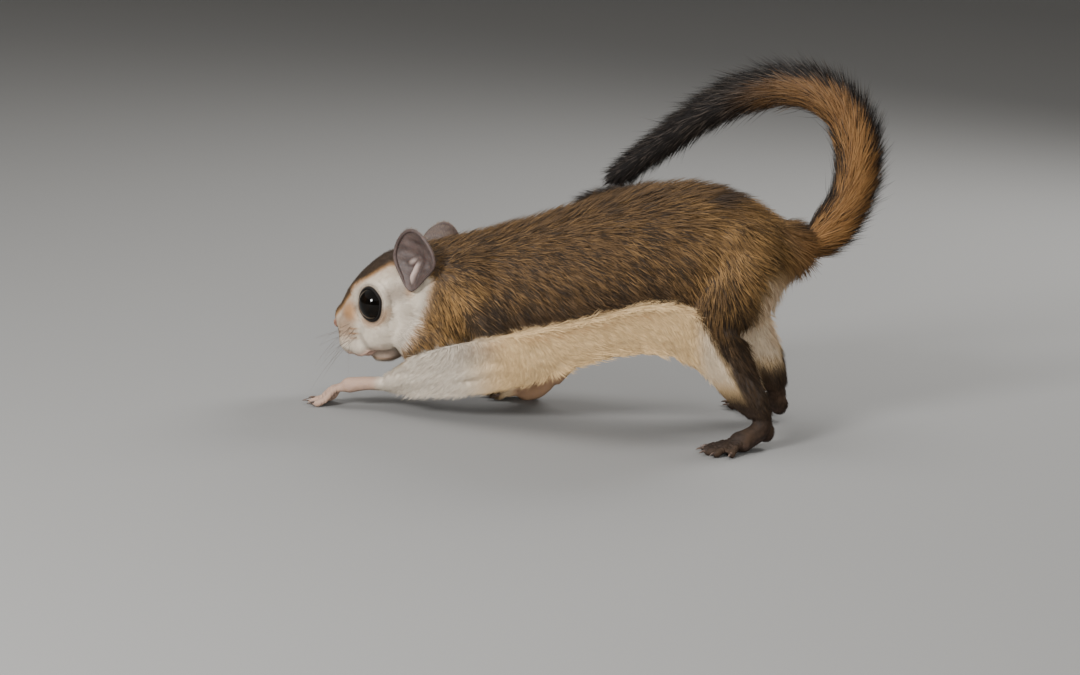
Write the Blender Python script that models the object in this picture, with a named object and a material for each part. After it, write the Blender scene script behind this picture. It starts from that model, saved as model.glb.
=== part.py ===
"""Northern flying squirrel, life size, stretching forward over level ground with its tail curled over the back.

Metres, +Z up, head towards -X, the animal's left side towards -Y. The solids follow the outside of the coat.
The flesh is modelled whole, smoothed, and parted into named pieces with thin cuts.
"""

import math
import random

import bmesh
import bpy
from mathutils import Matrix, Vector
from mathutils.bvhtree import BVHTree

MM = 0.001
GAP = 0.3  # mm of air between two pieces that meet
VOXEL = 0.8  # mm, the grain at which the flesh is fused
SMOOTHING_STEPS = 7
FLESH_TRIANGLES = 3150
FACE_THINNING = 0.12  # weight at which the face takes part in the thinning out, against 1 for the body
THINNING_PULL = 0.00022  # how strongly that weight counts
SEED = 11

# Driving sizes in millimetres, from nose to rump 160 and from sole to the top of the back 76.
EYE_RADIUS = 6.0
EYE_PLACE = (19.0, 1.6, 10.0)  # ahead-to-back, up and sideways in the head's own frame
EYE_GAZE = (-0.50, 0.11, 0.86)  # backwards, up, sideways
NOSE = (-75.5, 23.5)
HEAD_PITCH = 22.0  # degrees that the face looks down
HEAD_TURN = 4.0  # degrees that the nose turns to the animal's right
HEAD_ROLL = 6.0  # degrees that the crown leans to the animal's right
HEAD_PIVOT_X = -42.0
BODY_RISE = 3.0  # degrees that the body's own frame rises towards the rump over level ground
REACH_X = -75.0  # where the body's own frame meets the ground
LID_THICKNESS = 0.85
SOCKET_RADIUS, SOCKET_DEPTH = 6.6, 1.0  # the swelling that carries the lids, and how far it lies behind the eye
EAR_HEIGHT, EAR_HALF_WIDTH, EAR_DEPTH, EAR_WALL = 20.6, 8.0, 4.6, 0.9
TAIL_SEGMENTS = 5
LOCKS_ROUND_TAIL = 7
LOCK_RING_STEP = 13.5
LOCK_LENGTH = 22.0
CLAW_LENGTH = 2.8

# The trunk's rings: ahead-to-back distance from the nose, height of the top and of the bottom above the
# head's axis, half width, and how far up the ring is widest.
HEAD_RINGS = (
    (0.0, 2.0, -7.6, 3.7, 0.52),
    (1.5, 4.2, -9.8, 5.2, 0.49),
    (4.0, 6.7, -12.0, 6.7, 0.47),
    (8.0, 10.2, -13.9, 8.7, 0.45),
    (12.7, 13.1, -15.3, 10.8, 0.44),
    (17.0, 14.9, -15.6, 12.7, 0.45),
    (21.0, 16.2, -15.4, 13.9, 0.46),
    (25.5, 17.2, -15.2, 14.4, 0.47),
)
# The mouth from the middle to its corner: behind, above and beside the nose.
MOUTH_LINE = ((0.6, -9.4, 0.0), (1.6, -10.6, 2.4), (4.4, -12.0, 4.6), (8.0, -13.2, 6.2), (12.0, -13.0, 8.0))
# Rounded masses on the head: place behind, above and beside the nose, and radii. The second set is mirrored.
MIDDLE_MASSES = {
    "nose": ((0.3, 0.4, 0), (2.2, 2.3, 1.7)),
    "bridge": ((5.0, 2.6, 0), (5.4, 4.6, 3.8)),
    "lower_lip": ((11.2, -14.6, 0), (3.8, 4.2, 2.7)),
    "chin": ((14.6, -15.0, 0), (5.4, 6.2, 3.0)),
}
SIDE_MASSES = {
    "lip": ((3.0, -6.8, 3.3), (4.0, 3.5, 4.7)),
    "lip_corner": ((8.4, -9.6, 5.8), (5.6, 3.4, 4.2)),
    "cheek": ((17.4, -7.8, 8.6), (8.4, 5.0, 7.0)),
    "brow": ((17.6, 8.0, 7.6), (7.0, 4.6, 4.0)),
}
# Rounded masses on the trunk: x, y and z, and radii, for the animal's right side.
BODY_MASSES = {
    "shoulder": ((-27, 12.4, 37), (15, 8.6, 16)),
    "cape": ((-39.0, 11.0, 21.8), (15.0, 6.8, 10.0)),
    "haunch": ((58, 13.0, 48), (16.5, 10.8, 19)),
}
EAR_ROOT = (-44.9, 15.0, 36.6)
# Neck and body: x and z of the top, x and z of the bottom, half width, and how far up the ring is widest.
BODY_RINGS = (
    (-50.0, 52.6, -43.0, 16.8, 14.6, 0.47),
    (-44.0, 53.6, -39.0, 14.2, 16.0, 0.45),
    (-36.0, 55.6, -33.0, 11.6, 18.2, 0.43),
    (-26.0, 58.2, -24.0, 10.8, 20.2, 0.42),
    (-13.0, 61.8, -13.0, 11.4, 21.8, 0.42),
    (0.0, 65.8, 0.0, 13.4, 23.0, 0.42),
    (13.0, 70.2, 13.0, 17.2, 23.8, 0.42),
    (27.0, 73.6, 27.0, 21.0, 24.2, 0.43),
    (40.0, 75.2, 40.0, 23.2, 24.4, 0.45),
    (50.0, 74.2, 50.0, 25.4, 24.0, 0.47),
    (60.0, 71.0, 60.6, 28.5, 22.0, 0.50),
    (68.0, 66.2, 68.4, 35.0, 18.4, 0.50),
    (73.6, 62.4, 74.0, 41.6, 14.2, 0.50),
    (77.4, 60.0, 78.0, 47.0, 10.2, 0.50),
    (79.6, 58.6, 80.2, 50.0, 6.8, 0.50),
)
# Limbs: x, y, z and radius along the bone, root first. Y is given for the animal's left as negative.
LEFT_FORELEG = (
    (-30.0, -12.5, 38.0, 8.8),
    (-22.0, -16.0, 28.5, 8.2),
    (-13.5, -17.8, 19.6, 6.9),
    (-22.0, -18.6, 15.6, 6.6),
    (-34.0, -18.2, 13.0, 6.0),
    (-45.0, -17.0, 10.4, 4.8),
    (-53.0, -16.0, 8.6, 3.4),
    (-58.0, -15.6, 7.8, 2.8),
)
RIGHT_FORELEG = (
    (-26.0, 12.5, 38.0, 8.8),
    (-8.0, 17.5, 32.0, 8.0),
    (8.0, 19.6, 26.4, 6.6),
    (4.0, 19.0, 18.4, 6.0),
    (-1.0, 17.4, 11.2, 5.0),
    (-4.8, 16.2, 5.4, 3.8),
    (-7.4, 15.8, 1.0, 3.0),
)
LEFT_HINDLEG = (
    (63.0, -12.0, 52.0, 12.5),
    (57.0, -16.0, 43.0, 11.5),
    (51.5, -19.0, 33.0, 8.8),
    (57.5, -20.0, 22.5, 7.4),
    (63.2, -20.3, 12.0, 5.8),
    (67.2, -20.3, 4.6, 4.3),
    (69.2, -20.2, 0.4, 3.8),
)
RIGHT_HINDLEG = (
    (63.0, 12.0, 52.0, 12.5),
    (58.5, 16.0, 43.0, 11.5),
    (54.0, 19.0, 33.6, 9.2),
    (60.5, 20.0, 23.5, 8.2),
    (66.0, 20.3, 13.0, 6.8),
    (69.2, 20.3, 5.0, 4.6),
    (70.8, 20.2, 0.4, 3.8),
)
# Where each leg ends and its paw starts: a point and the direction along the leg.
LEFT_WRIST = ((-55.2, -15.9, 9.4), (-1.0, 0.0, -0.10))
RIGHT_WRIST = ((-6.4, 16.0, 7.4), (-0.5, -0.1, -1.0))
LEFT_ANKLE = ((67.6, -20.2, 11.0), (0.42, 0.0, -1.0))
RIGHT_ANKLE = ((69.2, 20.2, 11.0), (0.42, 0.0, -1.0))
# The gliding membrane: x, y, z of its rim, and x, y, z of its lower edge, from wrist to ankle.
LEFT_MEMBRANE = (
    (-53.0, -18.4, 11.8, -52.6, -17.4, 5.2),
    (-45.0, -22.0, 18.8, -44.0, -20.4, 5.0),
    (-34.0, -24.6, 23.2, -33.0, -22.4, 5.6),
    (-21.0, -25.6, 26.2, -20.0, -22.6, 7.2),
    (-7.0, -26.4, 29.6, -6.0, -21.8, 10.6),
    (7.0, -27.0, 32.6, 7.0, -21.4, 15.4),
    (20.0, -27.6, 36.2, 20.0, -21.4, 19.6),
    (30.0, -28.0, 39.4, 30.0, -21.4, 21.4),
    (40.0, -28.2, 40.2, 40.0, -21.6, 21.0),
    (48.0, -28.0, 37.2, 47.0, -22.0, 18.0),
    (53.4, -27.2, 28.6, 53.4, -22.6, 12.4),
    (58.2, -26.0, 18.6, 59.0, -22.8, 6.4),
    (63.4, -24.8, 9.4, 63.0, -22.8, 3.4),
)
RIGHT_MEMBRANE = (
    (-5.8, 20.4, 9.6, -4.0, 19.0, 5.8),
    (-3.6, 24.2, 18.4, 1.0, 21.8, 10.4),
    (0.0, 26.2, 26.0, 6.0, 22.2, 14.0),
    (7.0, 27.0, 31.6, 11.0, 21.8, 17.0),
    (20.0, 27.6, 36.0, 20.0, 21.6, 19.6),
    (30.0, 28.0, 39.2, 30.0, 21.4, 21.4),
    (40.0, 28.2, 40.2, 40.0, 21.6, 21.0),
    (49.0, 28.0, 37.2, 48.0, 22.0, 18.0),
    (55.4, 27.4, 28.6, 55.4, 22.8, 12.4),
    (60.8, 26.4, 18.6, 61.0, 23.0, 6.4),
    (65.4, 24.8, 9.4, 65.0, 23.0, 3.4),
)
# The middle of the tail, from inside the rump to its tip.
TAIL_LINE = (
    (71.0, 0.0, 51.4),
    (80.4, 0.4, 55.4),
    (88.6, 1.2, 62.6),
    (93.6, 2.6, 72.2),
    (95.0, 4.2, 83.4),
    (92.2, 6.0, 94.2),
    (84.6, 8.0, 101.6),
    (73.0, 10.0, 104.6),
    (59.6, 12.0, 102.2),
    (46.0, 13.8, 95.8),
    (32.6, 15.6, 86.0),
    (21.0, 17.0, 77.2),
    (11.0, 18.2, 69.6),
)
# Share of the tail's length, half width and half depth of its fur, and its roll in degrees.
TAIL_FORM = (
    (0.00, 8.4, 8.2, 8.0),
    (0.06, 9.0, 8.2, 16.0),
    (0.16, 10.2, 7.6, 34.0),
    (0.30, 11.2, 6.6, 46.0),
    (0.46, 10.8, 6.2, 46.0),
    (0.62, 9.6, 5.6, 40.0),
    (0.78, 8.2, 5.2, 34.0),
    (0.90, 7.0, 4.8, 30.0),
    (1.00, 5.4, 3.8, 28.0),
)
# Palms over level ground, from the cut at the leg to the ball: x, y, height and radius. The sole is the right one.
LEFT_PALM = ((-51.0, -16.1, 9.6, 3.5), (-57.0, -15.8, 8.7, 2.7), (-62.5, -16.3, 8.3, 2.7), (-67.5, -16.8, 7.4, 3.1))
RIGHT_PALM = ((-4.6, 16.4, 10.6, 3.6), (-7.6, 15.9, 6.0, 3.4), (-10.6, 15.8, 3.4, 3.6), (-14.0, 15.8, 2.5, 3.7))
SOLE = ((67.0, 20.1, 13.6, 4.0), (68.4, 20.4, 8.6, 3.8), (66.6, 22.6, 5.2, 3.9), (62.6, 26.4, 3.3, 4.1))
HEEL = ((69.4, 18.9, 5.4), (3.1, 3.0, 3.5))
PALM_FLATNESS = 0.8
FORE_KNUCKLES = (6.9, 1.9)  # height over ground, left and right
HIND_KNUCKLES = 2.6
# Toes as direction and length from the ball of the paw, the outermost last.
FORE_TOES = ((18.0, 11.6), (3.0, 13.2), (-14.0, 12.6), (-34.0, 10.6))
HIND_TOES = ((-32.0, 10.6), (-15.0, 12.8), (0.0, 13.6), (15.0, 13.0), (36.0, 9.8))

COLOURS = {
    "back": (0.23, 0.135, 0.06, 0.95),
    "cheek": (0.50, 0.43, 0.34, 0.9),
    "belly": (0.62, 0.50, 0.34, 0.9),
    "leg": (0.12, 0.08, 0.05, 0.9),
    "hand": (0.55, 0.34, 0.27, 0.6),
    "ear": (0.33, 0.25, 0.24, 0.6),
    "eye": (0.004, 0.003, 0.003, 0.05),
    "tail": (0.33, 0.17, 0.06, 0.9),
    "tail_end": (0.05, 0.042, 0.035, 0.9),
}


def clear_scene():
    for obj in list(bpy.data.objects):
        bpy.data.objects.remove(obj)


def material(name):
    """A Principled BSDF with the colour and roughness of one part of the animal."""
    found = bpy.data.materials.get(name)
    if found:
        return found
    made = bpy.data.materials.new(name)
    made.use_nodes = True
    shader = made.node_tree.nodes["Principled BSDF"]
    red, green, blue, roughness = COLOURS[name]
    shader.inputs["Base Color"].default_value = (red, green, blue, 1)
    shader.inputs["Roughness"].default_value = roughness
    shader.inputs["Metallic"].default_value = 0
    return made


def smooth(share):
    share = min(max(share, 0.0), 1.0)
    return share * share * (3 - 2 * share)


def through(keys, steps):
    """Rows on a smooth curve through the keys, with this many steps between each two."""
    rows = []
    last = len(keys) - 1
    for index in range(last):
        before = keys[max(index - 1, 0)]
        here, there = keys[index], keys[index + 1]
        after = keys[min(index + 2, last)]
        for step in range(steps):
            t = step / steps
            row = []
            for a, b, c, d in zip(before, here, there, after):
                cubic = 2 * b + (c - a) * t
                cubic += (2 * a - 5 * b + 4 * c - d) * t * t
                cubic += (3 * b - a - 3 * c + d) * t * t * t
                row.append(cubic / 2)
            rows.append(tuple(row))
    rows.append(tuple(keys[-1]))
    return rows


def between(keys, place):
    """The values at a place in rows that start with a rising number."""
    for low, high in zip(keys, keys[1:]):
        if place <= high[0]:
            share = smooth((place - low[0]) / (high[0] - low[0]))
            return [a + (b - a) * share for a, b in zip(low[1:], high[1:])]
    return list(keys[-1][1:])


def turn_head(point):
    """Turns and tips what lies ahead of the neck, fading in along the neck."""
    share = smooth((HEAD_PIVOT_X + 6 - point.x / MM) / 12)
    nose = Vector((NOSE[0], 0, NOSE[1])) * MM
    point = Matrix.Rotation(-math.radians(HEAD_ROLL) * share, 3, head_axes()[0]) @ (point - nose) + nose
    pivot = Vector((HEAD_PIVOT_X * MM, 0, 0))
    return Matrix.Rotation(-math.radians(HEAD_TURN) * share, 3, "Z") @ (point - pivot) + pivot


def head_axes():
    pitch = math.radians(HEAD_PITCH)
    back = Vector((math.cos(pitch), 0, math.sin(pitch)))
    up = Vector((-math.sin(pitch), 0, math.cos(pitch)))
    return back, up


def head_point(back, up, side):
    """A point in the head's own frame, in millimetres behind, above and beside the nose."""
    along, above = head_axes()
    nose = Vector((NOSE[0], 0, NOSE[1]))
    point = nose + along * back + above * up + Vector((0, side, 0))
    return turn_head(point * MM)


def head_direction(back, up, side):
    along, above = head_axes()
    tipped = Matrix.Rotation(-math.radians(HEAD_ROLL), 3, along)
    turned = Matrix.Rotation(-math.radians(HEAD_TURN), 3, "Z")
    return turned @ tipped @ (along * back + above * up + Vector((0, side, 0))).normalized()


def new_object(name, bm, colour="back"):
    """Makes an object of a bmesh, with its faces pointing out."""
    bm.normal_update()
    bmesh.ops.recalc_face_normals(bm, faces=bm.faces)
    mesh = bpy.data.meshes.new(name)
    bm.to_mesh(mesh)
    bm.free()
    obj = bpy.data.objects.new(name, mesh)
    bpy.context.scene.collection.objects.link(obj)
    mesh.materials.append(material(colour))
    return obj


def lofted(name, rings, colour="back"):
    """A closed skin over rings of points, with both ends filled."""
    bm = bmesh.new()
    loops = [[bm.verts.new(point) for point in ring] for ring in rings]
    for near, far in zip(loops, loops[1:]):
        count = len(near)
        for i in range(count):
            j = (i + 1) % count
            bm.faces.new((near[i], near[j], far[j], far[i]))
    bm.faces.new(list(reversed(loops[0])))
    bm.faces.new(loops[-1])
    return new_object(name, bm, colour)


def ball(name, centre, radii, turn=None, segments=24, colour="back"):
    bm = bmesh.new()
    bmesh.ops.create_uvsphere(bm, u_segments=segments, v_segments=segments * 2 // 3, radius=1)
    scale = Matrix.Diagonal((*[r * MM for r in radii], 1))
    bm.transform(Matrix.Translation(centre) @ (turn or Matrix()) @ scale)
    return new_object(name, bm, colour)


def tube_rings(rows, sides, grow=0.0, flat=1.0):
    """Rings square to a path of x, y, z and radius. flat squeezes them in height."""
    points = [Vector(row[:3]) for row in rows]
    rings = []
    side = Vector((0, 1, 0))
    for index, row in enumerate(rows):
        ahead = points[min(index + 1, len(points) - 1)] - points[max(index - 1, 0)]
        ahead.normalize()
        side = (side - ahead * side.dot(ahead)).normalized()
        up = side.cross(ahead)
        ring = []
        for i in range(sides):
            angle = 2 * math.pi * i / sides
            radius = row[3] + grow
            offset = side * math.cos(angle) + up * math.sin(angle) * flat
            ring.append((points[index] + offset * radius) * MM)
        rings.append(ring)
    return rings


def baked(obj):
    """Puts what the modifiers make into the object's own mesh."""
    graph = bpy.context.evaluated_depsgraph_get()
    mesh = bpy.data.meshes.new_from_object(obj.evaluated_get(graph))
    obj.modifiers.clear()
    obj.data = mesh
    return obj


def copy_of(obj, name):
    made = bpy.data.objects.new(name, obj.data.copy())
    bpy.context.scene.collection.objects.link(made)
    return made


def remove(*objects):
    for obj in objects:
        bpy.data.objects.remove(obj)


def boolean(obj, other, operation, solver="EXACT"):
    modifier = obj.modifiers.new(operation.lower(), "BOOLEAN")
    modifier.object = other
    modifier.operation = operation
    modifier.solver = solver
    return baked(obj)


def united(first, others, solver="EXACT"):
    """Joins closed meshes into the first of them, and removes the others."""
    pieces = bpy.data.collections.new("pieces")
    bpy.context.scene.collection.children.link(pieces)
    for obj in others:
        pieces.objects.link(obj)
    modifier = first.modifiers.new("union", "BOOLEAN")
    modifier.operation = "UNION"
    modifier.operand_type = "COLLECTION"
    modifier.collection = pieces
    modifier.solver = solver
    baked(first)
    remove(*others)
    bpy.data.collections.remove(pieces)
    return first


def grown(obj, distance, name="grown"):
    """A copy whose surface stands off by a distance in millimetres."""
    made = copy_of(obj, name)
    modifier = made.modifiers.new("stand_off", "DISPLACE")
    modifier.strength = distance * MM
    modifier.mid_level = 0
    return baked(made)


def fused(parts, voxel, steps):
    """One smooth skin over parts that overlap."""
    bm = bmesh.new()
    for part in parts:
        bm.from_mesh(part.data)
    remove(*parts)
    whole = new_object("flesh", bm)
    remesh = whole.modifiers.new("fuse", "REMESH")
    remesh.mode = "VOXEL"
    remesh.voxel_size = voxel * MM
    soften = whole.modifiers.new("soften", "SMOOTH")
    soften.factor = 0.5
    soften.iterations = steps
    return baked(whole)


def keep_largest(obj):
    """Leaves only the surface with the most volume."""
    bm = bmesh.new()
    bm.from_mesh(obj.data)
    bmesh.ops.remove_doubles(bm, verts=bm.verts, dist=1e-7)
    islands = []
    left = set(bm.faces)
    while left:
        queue = [left.pop()]
        island = set(queue)
        while queue:
            for edge in queue.pop().edges:
                for face in edge.link_faces:
                    if face in left:
                        left.discard(face)
                        island.add(face)
                        queue.append(face)
        islands.append(island)
    if len(islands) > 1:
        def volume(island):
            total = 0.0
            for face in island:
                a = face.verts[0].co
                for b, c in zip(face.verts[1:], face.verts[2:]):
                    total += a.dot(b.co.cross(c.co))
            return abs(total)

        largest = max(islands, key=volume)
        spare = [face for face in bm.faces if face not in largest]
        bmesh.ops.delete(bm, geom=spare, context="FACES")
    bmesh.ops.triangulate(bm, faces=bm.faces)
    bm.to_mesh(obj.data)
    bm.free()
    return obj


def half_space(point, normal, shift):
    """A large box that fills the side that the normal points to, from shift millimetres past the point."""
    reach = 0.4
    bm = bmesh.new()
    bmesh.ops.create_cube(bm, size=reach)
    turn = Vector(normal).to_track_quat("Z", "Y").to_matrix().to_4x4()
    centre = point + Vector(normal).normalized() * (reach / 2 + shift * MM)
    bm.transform(Matrix.Translation(centre) @ turn)
    return new_object("half_space", bm)


def trimmed(obj, point, normal, shift=0.0):
    """Takes off what lies more than shift millimetres past a plane."""
    beyond = half_space(Vector(point) * MM, Vector(normal), shift)
    boolean(obj, beyond, "DIFFERENCE")
    remove(beyond)
    return keep_largest(obj)


def parted(obj, point, normal, ahead_name):
    """Cuts an object in two at a plane, GAP apart. The piece that the normal points to gets a new name."""
    ahead = copy_of(obj, ahead_name)
    trimmed(obj, point, normal, -GAP / 2)
    trimmed(ahead, point, -Vector(normal), -GAP / 2)
    return ahead


def egg_ring(top, bottom, half_width, widest, count=28):
    """A ring in the plane of its top, its bottom and the Y axis, widest part way up."""
    ring = []
    for i in range(count):
        angle = 2 * math.pi * i / count
        height = math.sin(angle)
        share = widest + (1 - widest) * height if height > 0 else widest + widest * height
        across = math.cos(angle)
        across = math.copysign(abs(across) ** 0.92, across)
        point = bottom.lerp(top, share)
        ring.append(Vector((point.x, half_width * across, point.z)))
    return ring


def trunk():
    """Head, neck and body as one lofted form."""
    along, above = head_axes()
    nose = Vector((NOSE[0], 0, NOSE[1]))
    keys = []
    for back, top, bottom, half_width, widest in HEAD_RINGS:
        high = nose + along * back + above * top
        low = nose + along * back + above * bottom
        keys.append((high.x, high.z, low.x, low.z, half_width, widest))
    keys += BODY_RINGS
    rings = []
    for x1, z1, x2, z2, half_width, widest in through(keys, 3):
        ring = egg_ring(Vector((x1, 0, z1)), Vector((x2, 0, z2)), half_width, widest)
        rings.append([turn_head(point * MM) for point in ring])
    return lofted("trunk", rings)


def limb(name, keys, grow=0.0):
    return lofted(name, tube_rings(through(keys, 4), 16, grow))


def eye_centre(side):
    back, up, out = EYE_PLACE
    return head_point(back, up, side * out)


def eye_gaze(side):
    back, up, out = EYE_GAZE
    return head_direction(back, up, side * out)


def lid(side, around, along, segments):
    """A ring of lid that stands round the eye, clear of the eyeball by GAP."""
    bm = bmesh.new()
    reach = EYE_RADIUS + GAP + LID_THICKNESS + 0.05
    out = EYE_RADIUS * along
    major = math.sqrt(reach * reach - out * out) + around
    loops = []
    for i in range(segments):
        angle = 2 * math.pi * i / segments
        across = Vector((math.cos(angle), math.sin(angle), 0))
        loop = []
        for j in range(6):
            turn = 2 * math.pi * (j + 0.5) / 6
            point = across * (major + LID_THICKNESS * math.cos(turn))
            point.z = LID_THICKNESS * math.sin(turn)
            loop.append(bm.verts.new(point * MM))
        loops.append(loop)
    for i in range(segments):
        for j in range(6):
            near, far = loops[i], loops[(i + 1) % segments]
            k = (j + 1) % 6
            bm.faces.new((near[j], near[k], far[k], far[j]))
    gaze = eye_gaze(side)
    turn = gaze.to_track_quat("Z", "Y").to_matrix().to_4x4()
    bm.transform(Matrix.Translation(eye_centre(side) + gaze * out * MM) @ turn)
    return new_object("lid", bm)


def face_forms():
    """Nose, lips, cheeks and chin, as rounded masses on the head."""
    pitch = Matrix.Rotation(-math.radians(HEAD_PITCH), 4, "Y")
    forms = [ball(name, head_point(*place), radii, pitch) for name, (place, radii) in MIDDLE_MASSES.items()]
    for side in (-1, 1):
        for name, ((back, up, out), radii) in SIDE_MASSES.items():
            forms.append(ball(name, head_point(back, up, side * out), radii, pitch))
        behind = eye_centre(side) - eye_gaze(side) * SOCKET_DEPTH * MM
        forms.append(ball("socket", behind, (SOCKET_RADIUS,) * 3))
        forms.append(lid(side, 0.4, 0.3, 28))
    return forms


def body_forms():
    """Shoulders and haunches, as rounded masses on the trunk."""
    forms = []
    for side in (-1, 1):
        for name, ((x, y, z), radii) in BODY_MASSES.items():
            forms.append(ball(name, Vector((x, side * y, z)) * MM, radii))
    return forms


def flesh():
    """The whole body without its ears, paws and tail, with few faces where little is to be seen."""
    parts = [trunk()]
    parts += face_forms() + body_forms()
    for keys in (LEFT_FORELEG, RIGHT_FORELEG, LEFT_HINDLEG, RIGHT_HINDLEG):
        parts.append(limb("limb", keys))
    whole = fused(parts, VOXEL, SMOOTHING_STEPS)
    group = whole.vertex_groups.new(name="plain")
    for vertex in whole.data.vertices:
        x = vertex.co.x / MM
        plain = smooth((x + 60) / 20)
        group.add([vertex.index], FACE_THINNING + (1 - FACE_THINNING) * plain, "REPLACE")
    thin = whole.modifiers.new("thin_out", "DECIMATE")
    thin.ratio = FLESH_TRIANGLES / (2 * len(whole.data.polygons))
    thin.vertex_group = group.name
    thin.vertex_group_factor = THINNING_PULL
    return baked(whole)


def on_surface(tree, point, towards):
    """Where a ray from outside meets the head, seen from a point and going inwards."""
    start = point - towards * 20 * MM
    hit = tree.ray_cast(start, towards)[0]
    return hit if hit else point


def carve_face(whole):
    """The line of the mouth, the cleft under the nose, and the nostrils."""
    tree = BVHTree.FromPolygons(
        [vertex.co for vertex in whole.data.vertices],
        [polygon.vertices for polygon in whole.data.polygons],
    )
    left = [(back, up, -out) for back, up, out in reversed(MOUTH_LINE[1:])]
    rows = []
    for back, up, out in through([*left, *MOUTH_LINE], 2):
        inwards = head_direction(0.9 - back * 0.07, 0.35, -out * 0.18)
        place = on_surface(tree, head_point(back, up, out), inwards)
        rows.append((*(place / MM), 0.62 - 0.025 * back))
    cutters = [lofted("mouth", tube_rings(rows, 6))]
    for side in (-1, 1):
        nostril = head_point(-0.9, 0.7, side * 1.5)
        inwards = head_direction(1, 0, -side * 0.6)
        place = on_surface(tree, nostril, inwards)
        cutters.append(ball("nostril", place, (0.8, 0.6, 0.6), segments=9))
    cleft = []
    for up in (-1.2, -3.8, -6.4, -9.0):
        place = on_surface(tree, head_point(0, up, 0), head_direction(1, 0.1, 0))
        cleft.append((*(place / MM), 0.42))
    cutters.append(lofted("cleft", tube_rings(cleft, 6)))
    for cutter in cutters:
        boolean(whole, cutter, "DIFFERENCE")
    remove(*cutters)
    return whole


def eye(name, side, whole):
    """An eyeball, and its socket and lid in the head."""
    socket = ball("socket", eye_centre(side), (EYE_RADIUS + GAP + 0.2,) * 3, segments=12)
    boolean(whole, socket, "DIFFERENCE")
    remove(socket)
    united(whole, [lid(side, 0.0, 0.40, 18)])
    return ball(name, eye_centre(side), (EYE_RADIUS,) * 3, segments=14, colour="eye")


def ear(name, side, block):
    """A thin cup, open ahead and outwards, rooted on the head."""
    bm = bmesh.new()
    bmesh.ops.create_grid(bm, x_segments=7, y_segments=9, size=1)
    x, y, z = EAR_ROOT
    root = Vector((x, side * y, z)) * MM
    up = Vector((-0.03, side * 0.10, 0.97)).normalized()
    mouth = Vector((-0.36, side * 0.93, 0.10)).normalized()
    mouth = (mouth - up * mouth.dot(up)).normalized()
    across = up.cross(mouth)
    for vert in bm.verts:
        p, q = vert.co.x, vert.co.y
        p, q = p * math.sqrt(1 - q * q / 2), q * math.sqrt(1 - p * p / 2)
        from_middle = min(p * p + q * q, 1.0)
        height = (q + 1) / 2
        width = EAR_HALF_WIDTH * (0.74 + 0.26 * smooth(height * 1.6))
        bowl = EAR_DEPTH * (from_middle - 1) * (0.95 - 0.25 * height)
        lean = -1.6 * height * height
        rise = up * (height * EAR_HEIGHT)
        vert.co = turn_head(root + (rise + across * p * width + mouth * (bowl + lean)) * MM)
    cup = new_object(name, bm, "ear")
    wall = cup.modifiers.new("wall", "SOLIDIFY")
    wall.thickness = EAR_WALL * MM
    wall.offset = 0
    baked(cup)
    boolean(cup, block, "DIFFERENCE")
    return keep_largest(cup)


def claw(tip, ahead):
    """A hooked claw that leaves the toe's tip ahead and bends down."""
    rows = []
    for step in range(3):
        t = step / 2
        reach = CLAW_LENGTH * (t - 0.25)
        place = tip + ahead * reach + Vector((0, 0, 0.9 * t - 1.0 * t * t))
        rows.append((*place, 0.62 - 0.44 * t))
    return lofted("claw", tube_rings(rows, 4))


def toes(ball_place, heading, fan, knuckle_height, side):
    """Bent toes that rest on their pads, each with a claw."""
    made = []
    for spread, length in fan:
        angle = math.radians(heading - side * spread)
        ahead = Vector((math.cos(angle), math.sin(angle), 0))
        rows = []
        for along, height, radius in (
            (-0.10, knuckle_height + 0.1, 1.45),
            (0.42, knuckle_height * 0.74 + 0.9, 1.25),
            (0.72, 1.9, 1.15),
            (0.92, 1.0, 1.28),
            (1.00, 1.05, 0.80),
        ):
            place = ball_place + ahead * (length * along)
            rows.append((place.x, place.y, height, radius))
        made.append(lofted("toe", tube_rings(rows, 6)))
        tip = ball_place + ahead * length
        made.append(claw(Vector((tip.x, tip.y, 1.3)), ahead))
    return made


def floor_flats(obj):
    """Cuts off what sinks under the ground, which leaves small flats under the pads."""
    ground = half_space(Vector((0, 0, 0)), (0, 0, -1), 0)
    boolean(obj, ground, "DIFFERENCE")
    remove(ground)
    return keep_largest(obj)


def paw(name, limb_end, palm_rows, heading, fan, knuckle_height, side, colour):
    """A palm or sole with its toes and claws, standing on the ground, from the cut at the leg's end."""
    palm = lofted(name, tube_rings(through(palm_rows, 2), 8, flat=PALM_FLATNESS), colour)
    x, y, height, radius = palm_rows[-1]
    knuckles = ball("knuckles", Vector((x, y, height)) * MM, (radius, radius, radius * PALM_FLATNESS), segments=8)
    parts = [knuckles, *toes(Vector((x, y, 0)), heading, fan, knuckle_height, side)]
    if fan is HIND_TOES:
        (x, y, height), radii = HEEL
        x += palm_rows[0][0] - SOLE[0][0]
        parts.append(ball("heel", Vector((x, side * y, height)) * MM, radii, segments=8))
    united(palm, parts)
    point, normal = limb_end
    trimmed(palm, point, -Vector(normal), -GAP / 2)
    return floor_flats(palm)


def paws():
    """The four paws."""
    left, right = FORE_KNUCKLES
    left_sole = [(x, -y, height, radius) for x, y, height, radius in SOLE]
    right_sole = [(x + 1.6, y, height, radius) for x, y, height, radius in SOLE]
    return [
        paw("forepaw_left", LEFT_WRIST, LEFT_PALM, 183, FORE_TOES, left, -1, "hand"),
        paw("forepaw_right", RIGHT_WRIST, RIGHT_PALM, 176, FORE_TOES, right, 1, "hand"),
        paw("hindpaw_left", LEFT_ANKLE, left_sole, 220, HIND_TOES, HIND_KNUCKLES, -1, "leg"),
        paw("hindpaw_right", RIGHT_ANKLE, right_sole, 140, HIND_TOES, HIND_KNUCKLES, 1, "leg"),
    ]


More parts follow.
